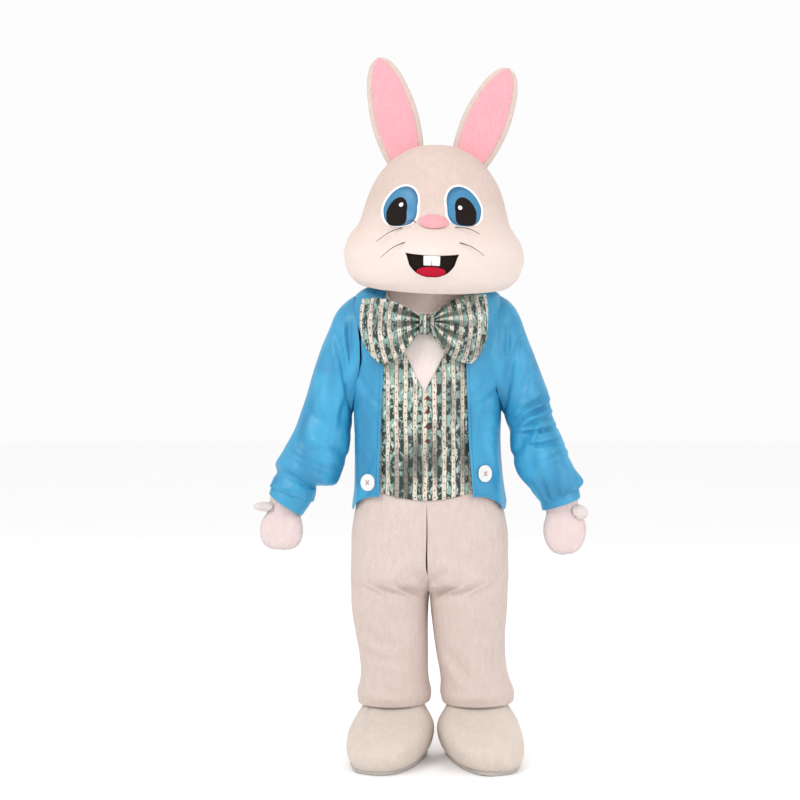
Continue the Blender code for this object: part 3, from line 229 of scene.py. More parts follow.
def buildVestStripe():
    # Along runs across the stripes and Across runs down them, both in metres
    group, given, leave = nodeGroup("vestStripe", {"Along": 0.0, "Across": 0.0, "Vector": None,
                                                   "FoldShade": 0.0, "Pitch": 0.029})
    vector = given["Vector"]
    wobble = mathNode(group, "MULTIPLY_ADD", noiseNode(group, vector, 26.0, 3.0), 0.36, -0.18)
    turns = mathNode(group, "DIVIDE", given["Along"], given["Pitch"])
    phase = mathNode(group, "FRACT", mathNode(group, "ADD", turns, wobble))
    bands = addNode(group, "ShaderNodeValToRGB", {"Fac": phase})
    ramp = bands.color_ramp
    ramp.interpolation = "CONSTANT"
    while len(ramp.elements) < len(stripeColours["bands"]):
        ramp.elements.new(0.5)
    for element, (place, tone) in zip(ramp.elements, stripeColours["bands"]):
        element.position = place
        element.color = (*stripeColours[tone], 1.0)
    # dark blotches fill parts of the green bands as painted reflection of the satin's mottled sheen,
    # more of them where the bump lies low and towards the bottom, and the whole cloth is lit unevenly
    # with painted shade
    mottle = noiseNode(group, vector, 36.0, 2.0, 0.6, 0.6)
    below = rangeNode(group, given["Across"], -0.62, -0.28, 0.075, 0.0)
    patch = mathNode(group, "SUBTRACT", mottle, below)
    inGreen = rangeNode(group, mathNode(group, "ABSOLUTE", mathNode(group, "SUBTRACT", phase, 0.67)),
                        0.21, 0.23, 1.0, 0.0)
    reflectionBlotch = mathNode(group, "MULTIPLY", rangeNode(group, patch, 0.465, 0.515, 0.95, 0.0), inGreen)
    dark = mixColour(group, reflectionBlotch, bands.outputs["Color"], stripeColours["deep"])
    # painted highlights: pale streaks of glints from the satin's sheen
    paintedGlints = noiseNode(group, stretchNode(group, vector, (1.0, 1.0, 0.45)), 120.0, 2.0, 0.7)
    lit = mixColour(group, rangeNode(group, paintedGlints, 0.57, 0.66, 0.0, 0.75), dark,
                    stripeColours["bright"])
    # painted shade: cloudy patches of shade, and the fold hollows marked on the piece, darken the
    # cloth
    cloud = noiseNode(group, stretchNode(group, vector, (1.0, 1.0, 0.35)), 30.0, 3.0, 0.6)
    gloom = mathNode(group, "MAXIMUM", rangeNode(group, cloud, 0.36, 0.50, 0.55, 0.0),
                     mathNode(group, "MULTIPLY", given["FoldShade"], 0.80))
    dim = mixColour(group, gloom, lit, stripeColours["shade"])
    # small dark dots down the middle of each pale stripe
    down = mathNode(group, "FRACT", mathNode(group, "DIVIDE", given["Across"], 0.021))
    dotAcross = mathNode(group, "MULTIPLY", mathNode(group, "SUBTRACT", phase, 0.18), 1.38)
    dotDown = mathNode(group, "SUBTRACT", down, 0.5)
    reach = mathNode(group, "ADD", mathNode(group, "POWER", dotAcross, 2.0),
                     mathNode(group, "POWER", dotDown, 2.0))
    dots = rangeNode(group, reach, 0.007, 0.012, 1.0, 0.0)
    threads = noiseNode(group, stretchNode(group, vector, (1.0, 1.0, 0.1)), 900.0)
    feed(group, leave, {"Colour": mixColour(group, dots, dim, stripeColours["dot"]),
                        "Roughness": rangeNode(group, mottle, 0.3, 0.7, 0.34, 0.52),
                        "Height": mathNode(group, "MULTIPLY_ADD", threads, 0.06, mottle)})


def buildMouldedPlastic():
    group, given, leave = nodeGroup(
        "mouldedPlastic", {"Vector": None, "Body": (1.0, 1.0, 1.0), "Wear": (0.8, 0.8, 0.8),
                           "Gloss": 0.3})
    cloud = noiseNode(group, given["Vector"], 90.0, 3.0, 0.6)
    feed(group, leave, {
        "Colour": mixColour(group, rangeNode(group, cloud, 0.42, 0.75, 0.0, 0.5), given["Body"],
                            given["Wear"]),
        "Roughness": mathNode(group, "MULTIPLY_ADD", cloud, 0.16, given["Gloss"]),
        "Height": noiseNode(group, given["Vector"], 1400.0)})


def startFinish(name, sheen=0.0, roughness=0.9, specular=0.5, sheenTint=(1.0, 1.0, 1.0)):
    material = bpy.data.materials.new(name)
    material.use_nodes = True
    tree = material.node_tree
    shader = feed(tree, tree.nodes["Principled BSDF"], {
        "Roughness": roughness, "Sheen Weight": sheen, "Sheen Roughness": 0.5,
        "Sheen Tint": sheenTint, "Specular IOR Level": specular})
    return material, tree, shader, tree.nodes.new("ShaderNodeTexCoord").outputs["Object"]


def addGroup(tree, name, vector, values):
    node = tree.nodes.new("ShaderNodeGroup")
    node.node_tree = groups[name]
    return feed(tree, node, {"Vector": vector, **values})


def dress(tree, shader, look, strength, depth, colour=None):
    # a group's outputs drive the shader, and depth is how far its bumps reach in metres
    bump = addNode(tree, "ShaderNodeBump", {"Strength": strength, "Distance": depth,
                                            "Height": look.outputs["Height"]})
    wanted = {"Base Color": look.outputs["Colour"] if colour is None else colour,
              "Normal": bump.outputs["Normal"]}
    if "Roughness" in look.outputs:
        wanted["Roughness"] = look.outputs["Roughness"]
    feed(tree, shader, wanted)


def plushFinish(name, tips, roots, fibre=700.0, tuft=70.0, sheen=0.25, depth=0.004, edge=None,
                pale=None):
    material, tree, shader, vector = startFinish(name, sheen=sheen, roughness=0.95, specular=0.2,
                                                 sheenTint=tips)
    pile = addGroup(tree, "plushPile", vector, {"Tips": tips, "Roots": roots, "Fibre": fibre,
                                                "Tuft": tuft})
    colour = pile.outputs["Colour"]
    if edge:
        # edge is the colour of the marked rim: a white edge with painted shade
        colour = mixColour(tree, markNode(tree, "rim"), colour, edge)
    if pale:
        # painted light: the plush turns paler from one height to another, up the chest and down the
        # lower face
        start, end, tone = pale
        share = rangeNode(tree, splitNode(tree, vector)["Z"], start, end, 0.0, 0.8)
        colour = mixColour(tree, share, colour, tone)
    dress(tree, shader, pile, 0.55, depth, colour)
    return material


def satinFinish(name, light, deep):
    # light and deep are a lit and a shaded tone of one satin: painted sheen and painted shade
    material, tree, shader, vector = startFinish(name, sheen=0.10, sheenTint=light)
    weave = addGroup(tree, "satinWeave", vector, {"Light": light, "Deep": deep})
    dress(tree, shader, weave, 0.40, 0.010)
    return material


def stripeFinish(name):
    # the pattern follows the piece's own map, which is in metres
    material, tree, shader, vector = startFinish(name, sheen=0.02, specular=0.35)
    clothMap = tree.nodes.new("ShaderNodeUVMap")
    clothMap.uv_map = "cloth"
    place = splitNode(tree, clothMap.outputs["UV"])
    stripe = addGroup(tree, "vestStripe", vector, {"Along": place["X"], "Across": place["Y"],
                                                   "FoldShade": markNode(tree, "trough")})
    dress(tree, shader, stripe, 0.55, 0.005)
    return material


def plasticFinish(name, body, wear, gloss, disc=None):
    material, tree, shader, vector = startFinish(name)
    plastic = addGroup(tree, "mouldedPlastic", vector, {"Body": body, "Wear": wear, "Gloss": gloss})
    colour = plastic.outputs["Colour"]
    if disc:
        # a disc is another colour at its rim: its middle, its reach and that colour
        centre, reach, tone = disc
        placed = addNode(tree, "ShaderNodeMapping", {
            "Vector": vector, "Location": tuple(-value / reach for value in centre),
            "Scale": (1 / reach, 1 / reach, 1 / reach)})
        ball = addNode(tree, "ShaderNodeTexGradient", {"Vector": placed.outputs["Vector"]})
        ball.gradient_type = "SPHERICAL"
        rim = rangeNode(tree, ball.outputs["Fac"], 0.02, 0.22, 1.0, 0.0)
        colour = mixColour(tree, rim, colour, tone)
    dress(tree, shader, plastic, 0.08, 0.0004, colour)
    return material


felt = {"fibre": 1200.0, "tuft": 160.0, "depth": 0.0015}
thread = {"fibre": 2500.0, "tuft": 900.0, "sheen": 0.1, "depth": 0.0004}
# the pile's colour at its tips and at its roots, and what else differs from plain plush
plushLooks = {
    "creamPlush": ((0.72, 0.61, 0.565), (0.54, 0.435, 0.39),
                   {"pale": (-0.36, -0.14, (0.97, 0.86, 0.82))}),
    "headPlush": ((0.74, 0.61, 0.56), (0.56, 0.43, 0.38),
                  {"pale": (0.29, 0.13, (0.80, 0.69, 0.635))}),
    # the neck's plush is a paler copy of the cream plush: painted light where the head's shade falls
    "neckLitPlush": ((0.93, 0.81, 0.76), (0.76, 0.62, 0.56), {}),
    "footPlush": ((0.77, 0.68, 0.615), (0.58, 0.49, 0.43), {"tuft": 55.0}),
    "glovePlush": ((0.80, 0.73, 0.71), (0.58, 0.50, 0.48), {}),
    "palmPlush": ((0.80, 0.675, 0.665), (0.64, 0.50, 0.49), {"edge": (0.56, 0.525, 0.52)}),
    "pinkPlush": ((0.92, 0.44, 0.48), (0.80, 0.31, 0.36), {"tuft": 90.0}),
    "nosePlush": ((0.84, 0.45, 0.47), (0.68, 0.31, 0.34), {"tuft": 90.0}),
    "eyeBlack": ((0.017, 0.010, 0.009), (0.008, 0.005, 0.005),
                 {**felt, "sheen": 0.02, "depth": 0.001}),
    "mouthFelt": ((0.016, 0.009, 0.006), (0.007, 0.004, 0.003), {**felt, "sheen": 0.02}),
    "tongueFelt": ((0.62, 0.010, 0.040), (0.40, 0.006, 0.024), {**felt, "sheen": 0.1}),
    "toothFelt": ((0.90, 0.89, 0.86), (0.72, 0.70, 0.66), {**felt, "sheen": 0.1}),
    "blueThread": ((0.022, 0.20, 0.38), (0.012, 0.12, 0.25), thread),
    "creamThread": ((0.80, 0.68, 0.60), (0.55, 0.43, 0.37), thread),
    "redThread": ((0.66, 0.24, 0.26), (0.46, 0.13, 0.15), thread),
}
# main colour, worn colour and lowest roughness
plasticLooks = {
    "eyeWhite": ((0.88, 0.87, 0.86), (0.78, 0.76, 0.75), 0.25),
    "glintWhite": ((0.92, 0.92, 0.92), (0.85, 0.85, 0.85), 0.15),
    "buttonWhite": ((0.76, 0.76, 0.75), (0.62, 0.62, 0.61), 0.25),
    "buttonRed": ((0.11, 0.008, 0.012), (0.18, 0.02, 0.028), 0.25),
    "whiskerBlack": ((0.030, 0.026, 0.026), (0.06, 0.05, 0.05), 0.25),
    "soleGrey": ((0.46, 0.42, 0.39), (0.36, 0.33, 0.31), 0.6),
}

for build in (buildPlushPile, buildSatinWeave, buildVestStripe, buildMouldedPlastic):
    build()
finishes = {"stripedSatin": stripeFinish("stripedSatin"),
            "blueSatin": satinFinish("blueSatin", (0.042, 0.34, 0.57), (0.020, 0.20, 0.38))}
for name, (tips, roots, rest) in plushLooks.items():
    finishes[name] = plushFinish(name, tips, roots, **rest)
for name, look in plasticLooks.items():
    finishes[name] = plasticFinish(name, *look)
print("finishes made:", len(finishes))


# copies of the solids' own form, made smooth

rounding = {"crease": 0.9, "corner": math.radians(48.0), "fits": 3,
            # first words of names that differ from their nodes' own
            "words": {"suit": "jumpsuit", "sleeve": "jacketSleeve", "cuff": "jacketCuff",
                      "glove": "mitt", "foot": "boot", "nose": "nosePad"}}


def pieceName(node):
    first, *others = node.split("_")
    return rounding["words"].get(first, first) + "".join(word.title() for word in others)


def smoothCopy(node, finish, levels=2, name=None):
    name = name or pieceName(node)
    shape = bmesh.new()
    shape.from_mesh(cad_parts[node].data)
    bmesh.ops.remove_doubles(shape, verts=shape.verts, dist=0.00003)
    bmesh.ops.join_triangles(shape, faces=shape.faces, angle_face_threshold=math.radians(38),
                             angle_shape_threshold=math.radians(75))
    creased = shape.edges.layers.float.new("crease_edge")
    for edge in shape.edges:
        if len(edge.link_faces) == 2 and edge.calc_face_angle(0.0) > rounding["corner"]:
            edge[creased] = rounding["crease"]
    mesh = meshFrom(shape, name)
    piece = addObject(name, mesh, finishes[finish])
    divided = piece.modifiers.new("Rounding", "SUBSURF")
    divided.levels = levels
    divided.render_levels = levels
    # the rounding pulls the form in, so its points are moved out until the form is the solid's own
    wanted = [vert.co.copy() for vert in mesh.vertices]
    graph = bpy.context.evaluated_depsgraph_get()
    for _ in range(rounding["fits"]):
        graph.update()
        rounded = piece.evaluated_get(graph).data
        shifts = [target - rounded.vertices[number].co for number, target in enumerate(wanted)]
        for vert, shift in zip(mesh.vertices, shifts):
            vert.co += shift
        mesh.update()
        piece.update_tag()
    settle(piece)
    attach(piece, "root")
    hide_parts(node)
    return piece


# folds pressed into cloth along given lines

def pressFolds(piece, folds, outward, ripple=None):
    # a fold is a line seen from the front (-1), the back (1) or both (0)
    for vert in piece.data.vertices:
        spot = vert.co
        wobble = noise.noise(spot * 14.0) * 0.006
        push = 0.0
        for face, startX, startZ, endX, endZ, width, depth, lip in folds:
            facing = 1.0 if face == 0 else soften(0.5 + face * (spot.y + 0.02) / 0.05)
            if facing == 0.0:
                continue
            lineX, lineZ = endX - startX, endZ - startZ
            length = math.hypot(lineX, lineZ)
            along = ((spot.x - startX) * lineX + (spot.z - startZ) * lineZ) / length ** 2
            if along < -0.3 or along > 1.3:
                continue
            across = ((spot.x - startX) * lineZ - (spot.z - startZ) * lineX) / length + wobble
            if abs(across) > width * 3.5:
                continue
            taper = soften((along + 0.3) / 0.5) * soften((1.3 - along) / 0.5) * facing
            trough = math.exp(-(across / width) ** 2)
            ridge = math.exp(-((across - width * 1.5) / width) ** 2)
            push += taper * (lip * ridge - depth * trough)
        if ripple:
            size, reach = ripple
            push += reach * noise.noise(Vector((spot.x, spot.y, spot.z * 0.6)) * size)
        vert.co += outward(spot) * push
    piece.data.update()


def fromAxis(middleX, middleY=0.0):
    def outward(spot):
        return Vector((spot.x - middleX, spot.y - middleY, 0.0)).normalized()
    return outward


def fromLine(start, end):
    # away from a straight line along an arm
    start, end = Vector(start), Vector(end)
    line = (end - start).normalized()

    def outward(spot):
        arm = spot - start
        return (arm - line * arm.dot(line)).normalized()
    return outward


def mapCloth(piece, place):
    # the piece's own map, in metres: across the stripes and down them
    chart = piece.data.uv_layers.new(name="cloth")
    for loop in piece.data.loops:
        chart.data[loop.index].uv = place(piece.data.vertices[loop.vertex_index].co)


# jumpsuit of cream plush

jumpsuit = {
    "levels": 3, "middle": {"left": 0.150, "right": -0.100}, "ripple": (9.0, 0.0030),
    # front or back, start x z, end x z, width, depth, lip
    "folds": [
        (-1, 0.002, -0.640, 0.012, -0.900, 0.009, 0.0060, 0.0000),
        (-1, -0.045, -0.900, 0.004, -0.855, 0.013, 0.0030, 0.0020),
        (-1, 0.080, -0.905, 0.028, -0.850, 0.013, 0.0030, 0.0020),
        (-1, -0.150, -0.760, -0.060, -0.800, 0.020, 0.0025, 0.0015),
        (-1, 0.190, -0.750, 0.110, -0.800, 0.020, 0.0025, 0.0015),
        (-1, -0.190, -1.010, -0.110, -1.050, 0.016, 0.0060, 0.0040),
        (-1, -0.170, -1.085, -0.080, -1.100, 0.015, 0.0045, 0.0030),
        (-1, 0.075, -1.080, 0.150, -1.180, 0.016, 0.0065, 0.0040),
        (-1, 0.170, -1.010, 0.240, -1.060, 0.018, 0.0045, 0.0030),
        (-1, -0.180, -1.175, -0.070, -1.195, 0.014, 0.0050, 0.0030),
        (-1, 0.110, -1.195, 0.230, -1.180, 0.014, 0.0055, 0.0035),
        (-1, 0.080, -0.700, 0.190, -0.690, 0.020, 0.0030, 0.0020),
        (-1, -0.160, -0.690, -0.060, -0.710, 0.020, 0.0030, 0.0020),
        (1, -0.180, -0.870, -0.030, -0.900, 0.018, 0.0065, 0.0040),
        (1, 0.215, -0.870, 0.070, -0.900, 0.018, 0.0065, 0.0040),
        (1, -0.170, -1.020, -0.040, -1.045, 0.016, 0.0055, 0.0030),
        (1, 0.225, -1.030, 0.090, -1.050, 0.016, 0.0055, 0.0030),
        (1, -0.160, -1.150, -0.050, -1.175, 0.015, 0.0050, 0.0030),
        (1, 0.225, -1.150, 0.110, -1.180, 0.015, 0.0050, 0.0030)],
}


def makeJumpsuit():
    for side in sides:
        outward = fromAxis(jumpsuit["middle"][side])
        for part in ("front", "back"):
            piece = smoothCopy("suit_%s_%s" % (part, side), "creamPlush",
                               jumpsuit["levels"])
            pressFolds(piece, jumpsuit["folds"], outward, jumpsuit["ripple"])
    smoothCopy("head_neck_skirt", "neckLitPlush", name="neckSkirt")


# blue satin jacket

jacket = {
    "levels": 3, "middle": 0.016, "ripple": (13.0, 0.0016),
    "folds": [
        (-1, -0.195, -0.090, -0.200, -0.200, 0.008, 0.0090, 0.0045),
        (-1, -0.200, -0.230, -0.130, -0.330, 0.010, 0.0035, 0.0025),
        (-1, -0.200, -0.420, -0.140, -0.390, 0.010, 0.0035, 0.0020),
        (-1, -0.190, -0.560, -0.150, -0.470, 0.011, 0.0030, 0.0025),
        (-1, 0.245, -0.090, 0.248, -0.200, 0.008, 0.0090, 0.0045),
        (-1, 0.245, -0.260, 0.160, -0.330, 0.010, 0.0035, 0.0025),
        (-1, 0.240, -0.410, 0.165, -0.400, 0.010, 0.0035, 0.0020),
        (-1, 0.225, -0.560, 0.185, -0.460, 0.011, 0.0030, 0.0025),
        (1, -0.180, -0.110, -0.120, -0.230, 0.011, 0.0045, 0.0030),
        (1, 0.215, -0.110, 0.160, -0.240, 0.011, 0.0045, 0.0030),
        (1, -0.150, -0.390, 0.010, -0.430, 0.014, 0.0040, 0.0030),
        (1, 0.180, -0.370, 0.030, -0.440, 0.014, 0.0040, 0.0030),
        (1, -0.060, -0.600, -0.070, -0.470, 0.014, 0.0045, 0.0030),
        (1, 0.090, -0.600, 0.100, -0.460, 0.014, 0.0045, 0.0030),
        (1, 0.020, -0.060, -0.080, -0.090, 0.012, 0.0030, 0.0020)],
    "sleeveRipple": (19.0, 0.0020),
    "sleeveFolds": {
        "right": [
            (-1, -0.226, -0.080, -0.222, -0.190, 0.009, 0.0120, 0.0060),
            (-1, -0.268, -0.110, -0.236, -0.270, 0.010, 0.0065, 0.0040),
            (-1, -0.222, -0.250, -0.252, -0.390, 0.011, 0.0055, 0.0030),
            (-1, -0.262, -0.400, -0.330, -0.350, 0.014, 0.0035, 0.0025),
            (-1, -0.262, -0.470, -0.350, -0.450, 0.013, 0.0045, 0.0030),
            (-1, -0.300, -0.520, -0.400, -0.470, 0.012, 0.0045, 0.0030),
            (1, -0.240, -0.130, -0.300, -0.210, 0.011, 0.0060, 0.0040),
            (1, -0.260, -0.390, -0.350, -0.330, 0.013, 0.0055, 0.0035),
            (1, -0.285, -0.470, -0.395, -0.440, 0.012, 0.0050, 0.0035)],
        "left": [
            (-1, 0.258, -0.080, 0.252, -0.170, 0.009, 0.0120, 0.0060),
            (-1, 0.305, -0.100, 0.244, -0.250, 0.011, 0.0065, 0.0040),
            (-1, 0.345, -0.190, 0.280, -0.300, 0.012, 0.0045, 0.0030),
            (-1, 0.372, -0.290, 0.296, -0.345, 0.0070, 0.0085, 0.0060),
            (-1, 0.388, -0.318, 0.290, -0.372, 0.0065, 0.0100, 0.0065),
            (-1, 0.400, -0.350, 0.300, -0.392, 0.0070, 0.0090, 0.0065),
            (-1, 0.405, -0.392, 0.292, -0.412, 0.0065, 0.0105, 0.0065),
            (-1, 0.360, -0.385, 0.335, -0.440, 0.0065, 0.0070, 0.0050),
            (-1, 0.412, -0.432, 0.322, -0.446, 0.0075, 0.0090, 0.0060),
            (-1, 0.430, -0.450, 0.372, -0.492, 0.0080, 0.0070, 0.0050),
            (-1, 0.445, -0.480, 0.350, -0.525, 0.012, 0.0050, 0.0030),
            (0, 0.250, -0.400, 0.345, -0.600, 0.055, 0.0190, 0.0000),
            (1, 0.280, -0.130, 0.340, -0.220, 0.011, 0.0060, 0.0040),
            (1, 0.300, -0.400, 0.390, -0.330, 0.013, 0.0055, 0.0035),
            (1, 0.330, -0.480, 0.430, -0.440, 0.012, 0.0050, 0.0035)]},
    # how far above the hem the sleeve is drawn in, the groove there, the bulge over it, the
    # gathers' depth and count, and whether only the arm's outer side takes part
    "directions": 16,
    "blouse": {"right": {"rise": 0.046, "groove": 0.0040, "bulge": 0.0070, "gather": 0.0012,
                         "count": 7, "outer": 0},
               "left": {"rise": 0.000, "groove": 0.0060, "bulge": 0.0070, "gather": 0.0035,
                        "count": 13, "outer": 1}},
    "arms": {"left": ((0.262, -0.005, -0.120), (0.415, -0.034, -0.590)),
             "right": ((-0.228, -0.005, -0.120), (-0.392, -0.034, -0.590))},
}


def gatherCuff(sleeve, blouse, start, end):
    # the sleeve is drawn in at the cuff and hangs over it
    start = Vector(start)
    line = (Vector(end) - start).normalized()
    side = line.cross(Vector((0.0, 1.0, 0.0))).normalized()
    front = side.cross(line)
    hem = max((vert.co - start).dot(line) for vert in sleeve.data.vertices)
    placed = []
    for vert in sleeve.data.vertices:
        arm = vert.co - start
        along = arm.dot(line)
        away = arm - line * along
        placed.append((along, away, math.atan2(away.dot(front), away.dot(side))))
    # how much wider the sleeve is at its gathers than at the cuff's seam, in each direction
    directions = jacket["directions"]
    wide, tight, lowest = [0.0] * directions, [1.0] * directions, [-1.0] * directions
    for along, away, turn in placed:
        part = int((turn + math.pi) / (2 * math.pi) * (directions - 0.001))
        if along > lowest[part]:
            lowest[part] = along
            tight[part] = away.length
        if abs(hem - along - blouse["rise"]) < 0.010:
            wide[part] = max(wide[part], away.length)
    for vert, (along, away, turn) in zip(sleeve.data.vertices, placed):
        drop = hem - along - blouse["rise"] - 0.006 * (1.0 + math.sin(turn * 2.0))
        groove = math.exp(-(drop / 0.010) ** 2)
        bulge = math.exp(-((drop - 0.026) / (0.014 if drop < 0.026 else 0.030)) ** 2)
        pleat = math.cos(turn * blouse["count"] + 3.0 * noise.noise(vert.co * 11.0))
        fade = math.exp(-(max(drop, 0.0) / 0.060) ** 2)
        outer = soften(0.5 + away.x * blouse["outer"] / 0.05) if blouse["outer"] else 1.0
        push = (blouse["bulge"] * bulge - blouse["groove"] * groove) * outer
        push += blouse["gather"] * pleat * fade
        if blouse["rise"]:
            place = (turn + math.pi) / (2 * math.pi) * directions - 0.5
            first = math.floor(place)
            near = [n % directions for n in (first, first + 1)]
            extra = [max(0.0, wide[n] - tight[n]) for n in near]
            spread = between(extra[0], extra[1], place - first)
            if drop < 0.0:
                push -= spread * max(0.0, 1.0 + drop / blouse["rise"])
            else:
                push -= spread * math.exp(-(drop / 0.014) ** 2)
        vert.co += away.normalized() * push
    sleeve.data.update()


def makeJacket():
    outward = fromAxis(jacket["middle"])
    for side in sides:
        front = smoothCopy("jacket_front_" + side, "blueSatin", jacket["levels"])
        pressFolds(front, jacket["folds"], outward, jacket["ripple"])
        sleeve = smoothCopy("sleeve_" + side, "blueSatin", jacket["levels"])
        arm = jacket["arms"][side]
        pressFolds(sleeve, jacket["sleeveFolds"][side], fromLine(*arm), jacket["sleeveRipple"])
        gatherCuff(sleeve, jacket["blouse"][side], *arm)
        cuff = smoothCopy("cuff_" + side, "blueSatin")
    back = smoothCopy("jacket_back", "blueSatin", jacket["levels"])
    pressFolds(back, jacket["folds"], outward, jacket["ripple"])


# striped vest and bow tie

bowTie = {"knot": (0.0180, -0.072), "centreShift": 0.16, "fan": 0.30,
          "pleats": 14.0, "pleatDepth": 0.0090, "pleatReach": 0.120,
          "knotPleats": 520.0, "knotDepth": 0.0012}
vestForm = {"depth": 0.0070, "across": 30.0, "down": 5.0, "deepBelow": -0.20, "deepOver": 0.30,
            # the map's bend and middle, how the stripes lean with depth, and their start
            "bend": 0.24, "middle": 0.016, "lean": 0.09, "start": 0.0045}


def bowStripe(side):
    # the stripes bow outward round a point behind the knot
    middleX = bowTie["knot"][0] - side * bowTie["centreShift"]
    middleZ = -0.080

    def place(spot):
        away = Vector((side * (spot.x - middleX), spot.z - middleZ))
        return away.length - bowTie["centreShift"], math.atan2(away.y, away.x) * bowTie["fan"]
    return place


def pleatLoop(piece):
    # gathers fan out from the knot and fade towards the edge, and their hollows are marked as trough
    # for painted shade
    knotX, knotZ = bowTie["knot"]
    trough = piece.data.attributes.new("trough", "FLOAT", "POINT")
    for vert in piece.data.vertices:
        awayX, awayZ = vert.co.x - knotX, vert.co.z - knotZ
        reach = math.hypot(awayX, awayZ)
        turn = math.atan2(awayZ, abs(awayX))
        wave = math.sin(turn * bowTie["pleats"] + 2.0 * noise.noise(vert.co * 9.0))
        fade = soften(reach / 0.035) * math.exp(-(reach / bowTie["pleatReach"]) ** 2)
        vert.co.y -= bowTie["pleatDepth"] * wave * fade
        trough.data[vert.index].value = soften(0.5 - wave) * min(1.0, fade * 1.5)
    piece.data.update()


def drapeVest(piece):
    # soft folds that run down the vest, deepest below its buttons, and their hollows are marked as
    # trough for painted shade, more of it lower down
    trough = piece.data.attributes.new("trough", "FLOAT", "POINT")
    for vert in piece.data.vertices:
        spot = vert.co
        wave = noise.noise(Vector((spot.x * vestForm["across"], 0.0, spot.z * vestForm["down"])))
        low = soften((vestForm["deepBelow"] - spot.z) / vestForm["deepOver"])
        clear = soften((abs(spot.x - 0.010) - 0.006) / 0.03)
        spot.y -= vestForm["depth"] * max(wave, -0.05) * (0.4 + low) * clear
        trough.data[vert.index].value = soften(-2.2 * wave - 0.10) * (0.35 + 0.65 * low)
    piece.data.update()


def vestStripe(spot):
    x = spot.x - vestForm["middle"] - vestForm["lean"] * spot.y
    turn = math.asin(max(-1.0, min(1.0, x / vestForm["bend"])))
    return vestForm["bend"] * turn + vestForm["start"], spot.z


def makeVest():
    for side, sign in (("left", 1), ("right", -1)):
        vest = smoothCopy("vest_front_" + side, "stripedSatin", 3)
        drapeVest(vest)
        mapCloth(vest, vestStripe)
        loop = smoothCopy("bow_loop_" + side, "stripedSatin")
        mapCloth(loop, bowStripe(sign))
        pleatLoop(loop)
    knot = smoothCopy("bow_knot", "stripedSatin", 3)
    mapCloth(knot, lambda spot: (spot.x * 1.4 + 0.003, spot.z))
    # the knot's pleat hollows are marked as trough for painted shade
    knotFoldShade = knot.data.attributes.new("trough", "FLOAT", "POINT")
    for vert in knot.data.vertices:
        away = vert.co.x - bowTie["knot"][0]
        wave = math.sin(away * bowTie["knotPleats"] + 6.0 * (vert.co.z - 0.05))
        vert.co.y += bowTie["knotDepth"] * wave
        knotFoldShade.data[vert.index].value = soften(wave * 0.8)
    knot.data.update()
    for number in (1, 2, 3, 4):
        smoothCopy("vest_button_%d" % number, "buttonRed")


# head

headShape = {
    "segments": 176, "rings": 104, "wall": 0.011,
    "turn": 0.045, "roll": math.radians(2.0), "middle": (0.031, -0.020), "pivot": 0.060,
    # height, half width, front and back, from the neck hole to the crown
    "profile": [
        (0.074, 0.088, 0.088, 0.098), (0.066, 0.160, 0.138, 0.140), (0.050, 0.224, 0.176, 0.168),
        (0.062, 0.246, 0.192, 0.182), (0.080, 0.262, 0.202, 0.190), (0.105, 0.272, 0.208, 0.196),
        (0.142, 0.2778, 0.210, 0.200), (0.188, 0.2635, 0.203, 0.203),
        (0.213, 0.245, 0.198, 0.203), (0.238, 0.2300, 0.196, 0.203), (0.275, 0.220, 0.196, 0.202),
        (0.325, 0.2046, 0.188, 0.194), (0.374, 0.1813, 0.170, 0.178),
        (0.421, 0.1440, 0.138, 0.146), (0.452, 0.102, 0.100, 0.106), (0.469, 0.060, 0.060, 0.062),
        (0.477, 0.0, 0.0, 0.0)],
    # cheeks and muzzle: place, spread and reach
    "puffs": [(-0.118, 0.135, 0.085, 0.060, 0.020), (0.0, 0.150, 0.075, 0.048, 0.052),
              (0.118, 0.135, 0.085, 0.060, 0.020)],
    # half width of the mouth, its top and its bottom
    "mouth": [(0.000, 0.109, 0.0495), (0.020, 0.110, 0.0510), (0.045, 0.113, 0.0610),
              (0.065, 0.116, 0.0820), (0.078, 0.1185, 0.1165)],
    "core": (0.031, -0.020, 0.240), "lumps": 0.0014,
    "seamY": 0.055, "seamWidth": 0.004, "seamDepth": 0.0022,
    # the muzzle's upper edge below each eye, as a soft crease
    "creases": [(-1, -0.122, 0.1960, -0.030, 0.2010, 0.007, 0.0035, 0.0020),
                (-1, 0.170, 0.1900, 0.075, 0.1980, 0.007, 0.0035, 0.0020)],
}


def poseHead(spot):
    pivot = Vector((0.0, 0.0, headShape["pivot"]))
    rolled = Matrix.Rotation(headShape["roll"], 3, "Y") @ (spot - pivot)
    rolled.x += headShape["middle"][0] + headShape["turn"] * rolled.y
    return rolled + Vector((0.0, headShape["middle"][1], headShape["pivot"]))


def headPuff(x, z):
    reach = 0.0
    for middle, height, wide, tall, out in headShape["puffs"]:
        reach += out * math.exp(-((x - middle) / wide) ** 2 - ((z - height) / tall) ** 2)
    return reach * soften((z - 0.035) / 0.05)


def headSpot(turn, place):
    z, half, front, back = through(headShape["profile"], place)
    x = half * math.cos(turn)
    across = math.sin(turn)
    y = -across * (front if across > 0.0 else back)
    if across > 0.0:
        y -= headPuff(x, z) * across
    z += 0.25 * y * soften((0.24 - z) / 0.18)
    return Vector((x, y, z))


